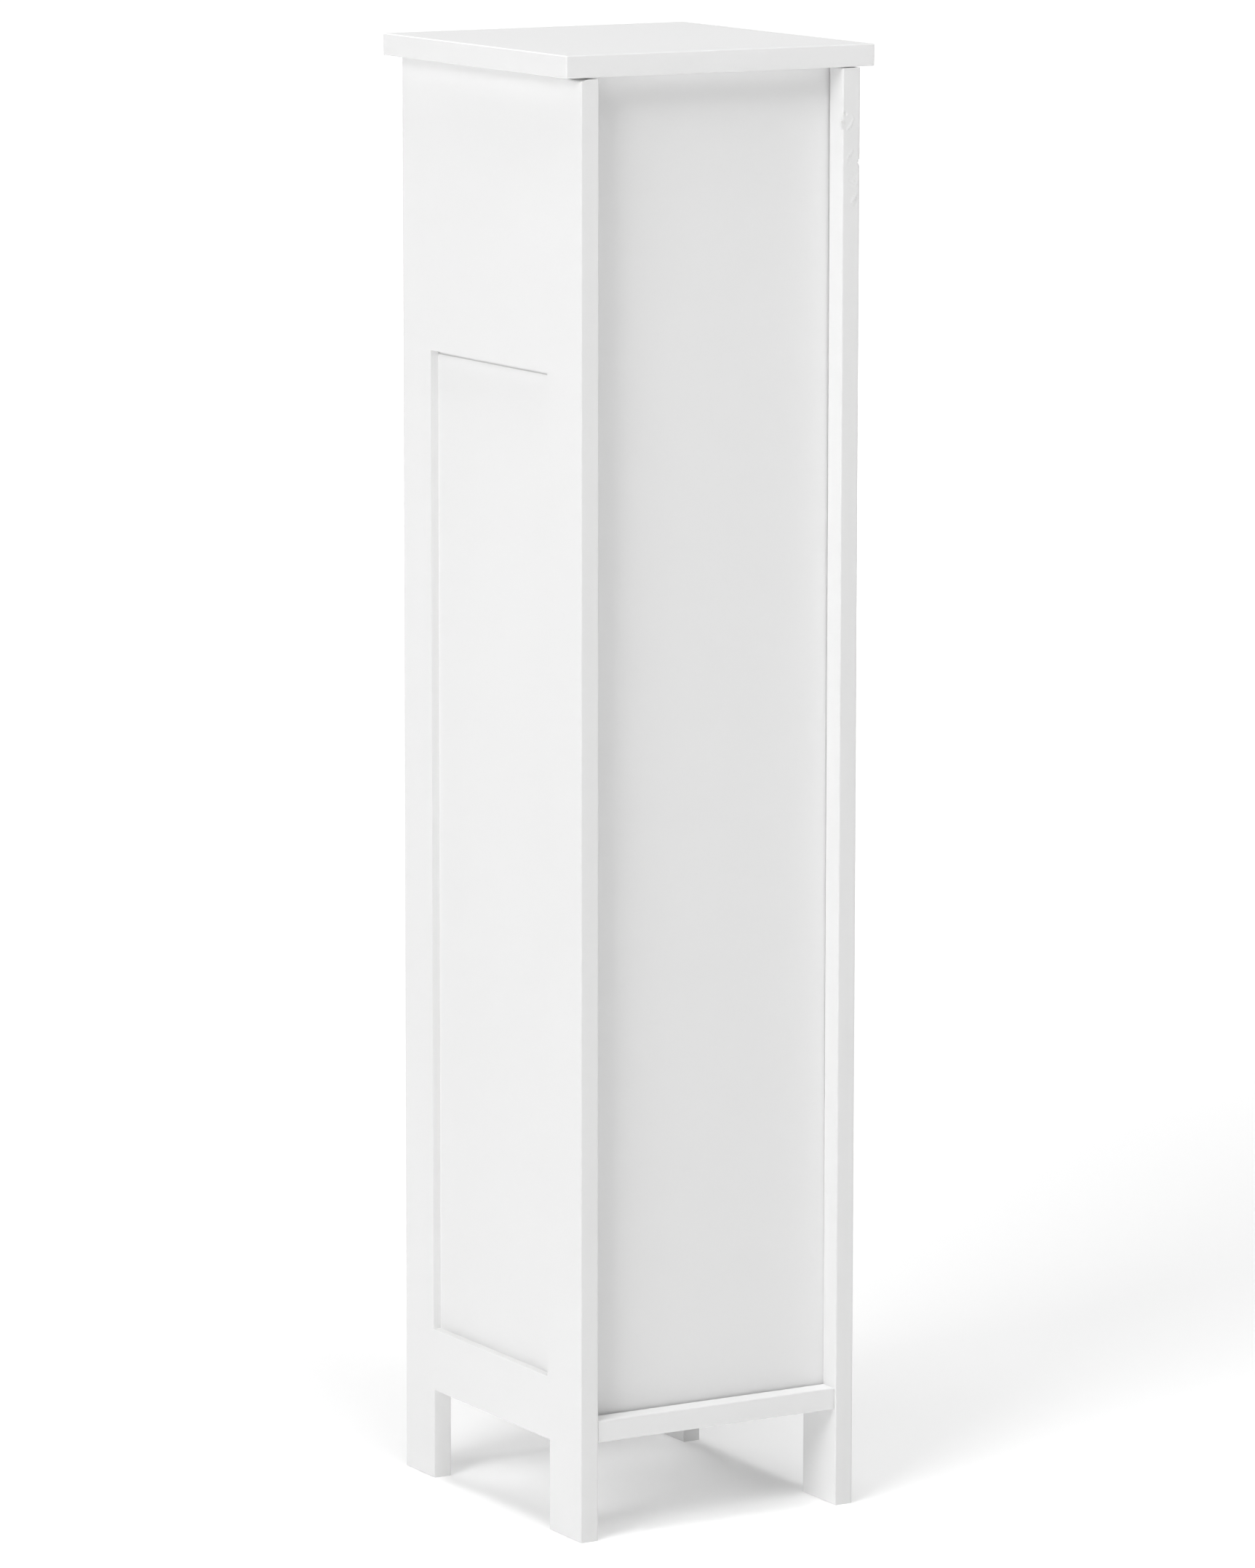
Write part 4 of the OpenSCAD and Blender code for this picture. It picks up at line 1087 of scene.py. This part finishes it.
def hardboard(place):
    """Roller stipple in the bump; broad clouds and short scuffs in the colour."""
    stipple = place.noise(480, 2.5, 0.6)
    cloud = place.stretched(6, 6, 3).noise(1.0, 3.0)
    scuff = place.stretched(30, 30, 160).noise(1.0, 4.0, 0.6).ramp(0.62, 0.8)
    colour = (cloud * 0.4 + scuff * 0.2).held().blend((0.845, 0.845, 0.845), (0.80, 0.80, 0.798))
    rough = 0.58 + stipple * 0.08 - scuff * 0.06
    return surface(place, Base_Color=colour, Roughness=rough, Normal=stipple.bump(0.02))


back_finish = finish("painted_hardboard", hardboard)
print("nodes of the hardboard:", len(back_finish.node_tree.nodes))

# %% Satin nickel and zinc


def brushed(stretch):
    """Satin nickel brushed so that the noise is short along the stretched axes."""

    def shader(place):
        stroke = place.stretched(*stretch).noise(900, 2.0, 0.6)
        cloud = place.noise(60, 2.0)
        worn = place.noise(400, 3.0).ramp(0.6, 0.75)
        colour = (cloud * 0.6 + worn * 0.3).held().blend((0.60, 0.585, 0.56), (0.52, 0.51, 0.495))
        rough = 0.24 + stroke * 0.14 + worn * 0.08
        return surface(
            place, Base_Color=colour, Metallic=1.0, Roughness=rough, Normal=stroke.bump(0.008, 0.6),
        )

    return shader


def zinc(place):
    """Clouds of crystals in the colour and gloss, darker where the plate is thin, and a fine grit."""
    cloud = place.noise(350, 3.0, 0.6)
    grit = place.noise(3000, 1.0)
    edge = place.cells(900).ramp(0.1, 0.5)
    colour = (cloud * 0.7 + edge * 0.3).held().blend((0.50, 0.52, 0.55), (0.40, 0.41, 0.42))
    rough = 0.34 + cloud * 0.2
    return surface(place, Base_Color=colour, Metallic=1.0, Roughness=rough, Normal=grit.bump(0.006, 0.6))


nickel_turned = finish("nickel_turned", brushed((0.15, 3.0, 0.15)))
nickel_rolled = finish("nickel_rolled", brushed((1.5, 1.5, 0.12)))
zinc_finish = finish("zinc_plate", zinc)
print("nodes of the nickel:", len(nickel_turned.node_tree.nodes))

# %% Moulded plastic and magnet


def plastic(place):
    """Spark texture in the bump, flow lines round the tubes, and patches polished by handling."""
    spark = place.noise(2600, 1.0)
    flow = place.stretched(14, 260, 260).noise(1.0, 3.0)
    handled = place.noise(45, 2.0).ramp(0.5, 0.75)
    colour = (flow * 0.5 + handled * 0.3).held().blend((0.84, 0.84, 0.83), (0.79, 0.79, 0.775))
    rough = 0.38 + spark * 0.08 - handled * 0.10
    return surface(place, Base_Color=colour, Roughness=rough, Normal=spark.bump(0.01, 0.7), IOR=1.49)


def ferrite(place):
    """Coarse grit, with paler chips around scattered points."""
    grit = place.noise(1800, 3.0, 0.7)
    chip = place.cells(500).ramp(0.05, 0.2, 1.0, 0.0)
    colour = (grit * 0.6 + chip * 0.4).held().blend((0.045, 0.045, 0.05), (0.10, 0.10, 0.105))
    return surface(place, Base_Color=colour, Roughness=0.55 + grit * 0.2, Normal=grit.bump(0.03))


plastic_finish = finish("moulded_plastic", plastic)
ferrite_finish = finish("ferrite", ferrite)
print("nodes of the plastic:", len(plastic_finish.node_tree.nodes))

# %% Beech
ALONG_GRAIN, ACROSS_GRAIN = 90.0, 900.0


def beech(stretch):
    """Beech whose flecks run along the axis that is stretched least."""

    def shader(place):
        fleck = place.stretched(*stretch).cells(1.0).ramp(0.02, 0.2, 1.0, 0.0)
        ring = place.stretched(*stretch).noise(0.35, 3.0)
        colour = (ring * 0.6 + fleck * 0.6).held().blend((0.62, 0.43, 0.25), (0.42, 0.27, 0.14))
        normal = (ring - fleck * 0.6).bump(0.03)
        return surface(place, Base_Color=colour, Roughness=0.55 + ring * 0.2, Normal=normal)

    return shader


beech_level = finish("beech_level", beech((ALONG_GRAIN, ACROSS_GRAIN, ACROSS_GRAIN)))
beech_upright = finish("beech_upright", beech((ACROSS_GRAIN, ACROSS_GRAIN, ALONG_GRAIN)))
print("finishes:", len(bpy.data.materials))

# %% [markdown]
# ## Who stands for what
# Every new piece takes the place of one CAD node, rides on the same body as that node and takes its
# finish from the same slot. These could be written piece by piece, with a chance of a slip in each.
# One table says it all, so the loop below it can't forget a piece. The cam bolts and the magnet keep
# their CAD shape, and get their finish in place.

# %% Pieces, nodes and finishes
DRESSED = [
    *((piece, node, lacquers[node]) for node, (piece, _) in BOARDS.items()),
    (sheet, "back_panel", back_finish),
    (knob, "door_knob", nickel_turned), (knob_bolt, "knob_screw", zinc_finish),
    (shelf_pegs, "shelf_pins", nickel_rolled),
    (upper_pin, "upper_hinge_pin", nickel_rolled), (lower_pin, "lower_hinge_pin", nickel_rolled),
    (frame_screws, "hinge_frame_screws", nickel_rolled),
    (door_screw_set, "hinge_door_screws", nickel_rolled),
    (catch_screw_set, "catch_screws", zinc_finish), (strike_screw, "strike_screw", zinc_finish),
    (socket_screw_set, "socket_screws", zinc_finish), (spring, "roller_spring", zinc_finish),
    (outer_tube, "roller_outer_tube", plastic_finish),
    (inner_tube, "roller_inner_tube", plastic_finish),
    (level_dowels, "dowels", beech_level), (upright_dowels, "dowels", beech_upright),
]
SLOT_FINISH = {
    "nickel": nickel_rolled, "zinc": zinc_finish, "white_plastic": plastic_finish,
    "magnet": ferrite_finish,
}
slot_of = {part["node"]: part["material_slot"] for part in frame["record"]["subparts"]}
DRESSED += [(piece, node, SLOT_FINISH[slot_of[node]]) for node, piece in copies.items()]
bodies = frame["record"]["behaviour"]["bodies"]
body_of = {node: body for body, nodes in bodies.items() for node in nodes}

for piece, node, material in DRESSED:
    piece.data.materials.clear()
    piece.data.materials.append(material)
    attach(piece, body_of[node])
    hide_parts(node)
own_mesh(spring)
kept = sorted(set(frame["nodes"]) - {node for _, node, _ in DRESSED})
for node in kept:
    for patch in frame["nodes"][node].material_slots:
        patch.material = SLOT_FINISH[slot_of[node]]
print("dressed:", len(DRESSED), "pieces; kept:", kept)

# %% [markdown]
# ## Floor, sky and lights
# The photograph is a studio picture on white: one broad soft light from the camera's left, and pale
# surroundings that fill every shadow. A world of one white colour would light all sides alike, and
# the shape would be lost. So the world is pale at the horizon only and fades to almost black overhead,
# the floor glows faintly, more so behind the cabinet and far away, and five soft boxes give the faces
# their steps. They stand seven metres away, so that the foot is as bright as the top. The strongest
# one hangs overhead and the next lights the side that the camera sees.

# %% Floor
FLOOR_REACH, FLOOR_SIDES, FLOOR_WHITE = 24.0, 96, 0.9
NEAR_GLOW, AROUND_GLOW, BEHIND_GLOW = 0.178, 0.56, 0.65
AROUND_FROM, BEHIND_FROM = (2.0, 8.0), (0.4, 5.0)  # metres from the middle, where each glow grows
BEHIND = (-math.sin(math.radians(AZIMUTH)), math.cos(math.radians(AZIMUTH)), 0)


def pale_floor(place):
    """White, with a glow that grows where the soft boxes no longer reach: with the distance all round,
    and with the distance behind the cabinet, which is the place's dot product with that direction."""
    around = place.measure("LENGTH").ramp(*AROUND_FROM)
    away = place.measure("DOT_PRODUCT", BEHIND).ramp(*BEHIND_FROM)
    glow = (NEAR_GLOW + around * AROUND_GLOW + away * BEHIND_GLOW).blend((0, 0, 0), (1, 1, 1))
    return surface(
        place, Base_Color=(FLOOR_WHITE,) * 3 + (1,), Roughness=0.8 + place.noise(40, 2.0) * 0.1,
        Emission_Color=glow, Emission_Strength=1.0,
    )


ring = np.linspace(0, 2 * math.pi, FLOOR_SIDES, endpoint=False)
disc = np.stack([FLOOR_REACH * np.cos(ring), FLOOR_REACH * np.sin(ring), ring * 0], 1)
floor = make_piece("floor", disc, [list(range(FLOOR_SIDES))])
floor.data.materials.append(finish("pale_floor", pale_floor))
tell(floor)

# %% World
HORIZON, ZENITH, FADE = 0.78, 0.02, (0.05, 0.2)  # FADE is the sine of the height above the horizon
world = bpy.data.worlds.new("studio")
scene.world = world
world.use_nodes = True
background = world.node_tree.nodes["Background"]
background.inputs["Color"].default_value = (1, 1, 1, 1)
direction = Wire(world.node_tree.nodes.new("ShaderNodeTexCoord").outputs["Generated"])
strength = direction.part(2).ramp(*FADE, HORIZON, ZENITH)
world.node_tree.links.new(strength.socket, background.inputs["Strength"])
scene.view_settings.view_transform = "Standard"
print("world nodes:", len(world.node_tree.nodes))

# %% Soft boxes
BOX_AWAY, BOX_SIDE, BOX_AIM = 7.0, 3.0, (0, 0, 0.4)
SOFT_BOXES = {  # azimuth, elevation, power
    "side_middle": (116, 32, 202), "side_high": (104, 60, 29), "rear_high": (180, 60, 107),
    "overhead": (150, 86, 240), "front": (358, 32, 138),
}


def soft_box(name, azimuth, elevation, power):
    """An area light that looks at the cabinet's middle from the direction of the two angles."""
    light = bpy.data.lights.new(name, "AREA")
    light.shape, light.size, light.energy = "SQUARE", BOX_SIDE, power
    lamp = bpy.data.objects.new(name, light)
    scene.collection.objects.link(lamp)
    turn = camera_turn(azimuth, elevation, 0)
    lamp.matrix_world = Matrix.Translation(Vector(BOX_AIM) + turn.col[2].to_3d() * BOX_AWAY) @ turn


for name, settings in SOFT_BOXES.items():
    soft_box(name, *settings)
print("soft boxes:", len(SOFT_BOXES))

# %% [markdown]
# ## Update
# The view layer is brought up to date at the end.

# %% Update the view layer
bpy.context.view_layer.update()
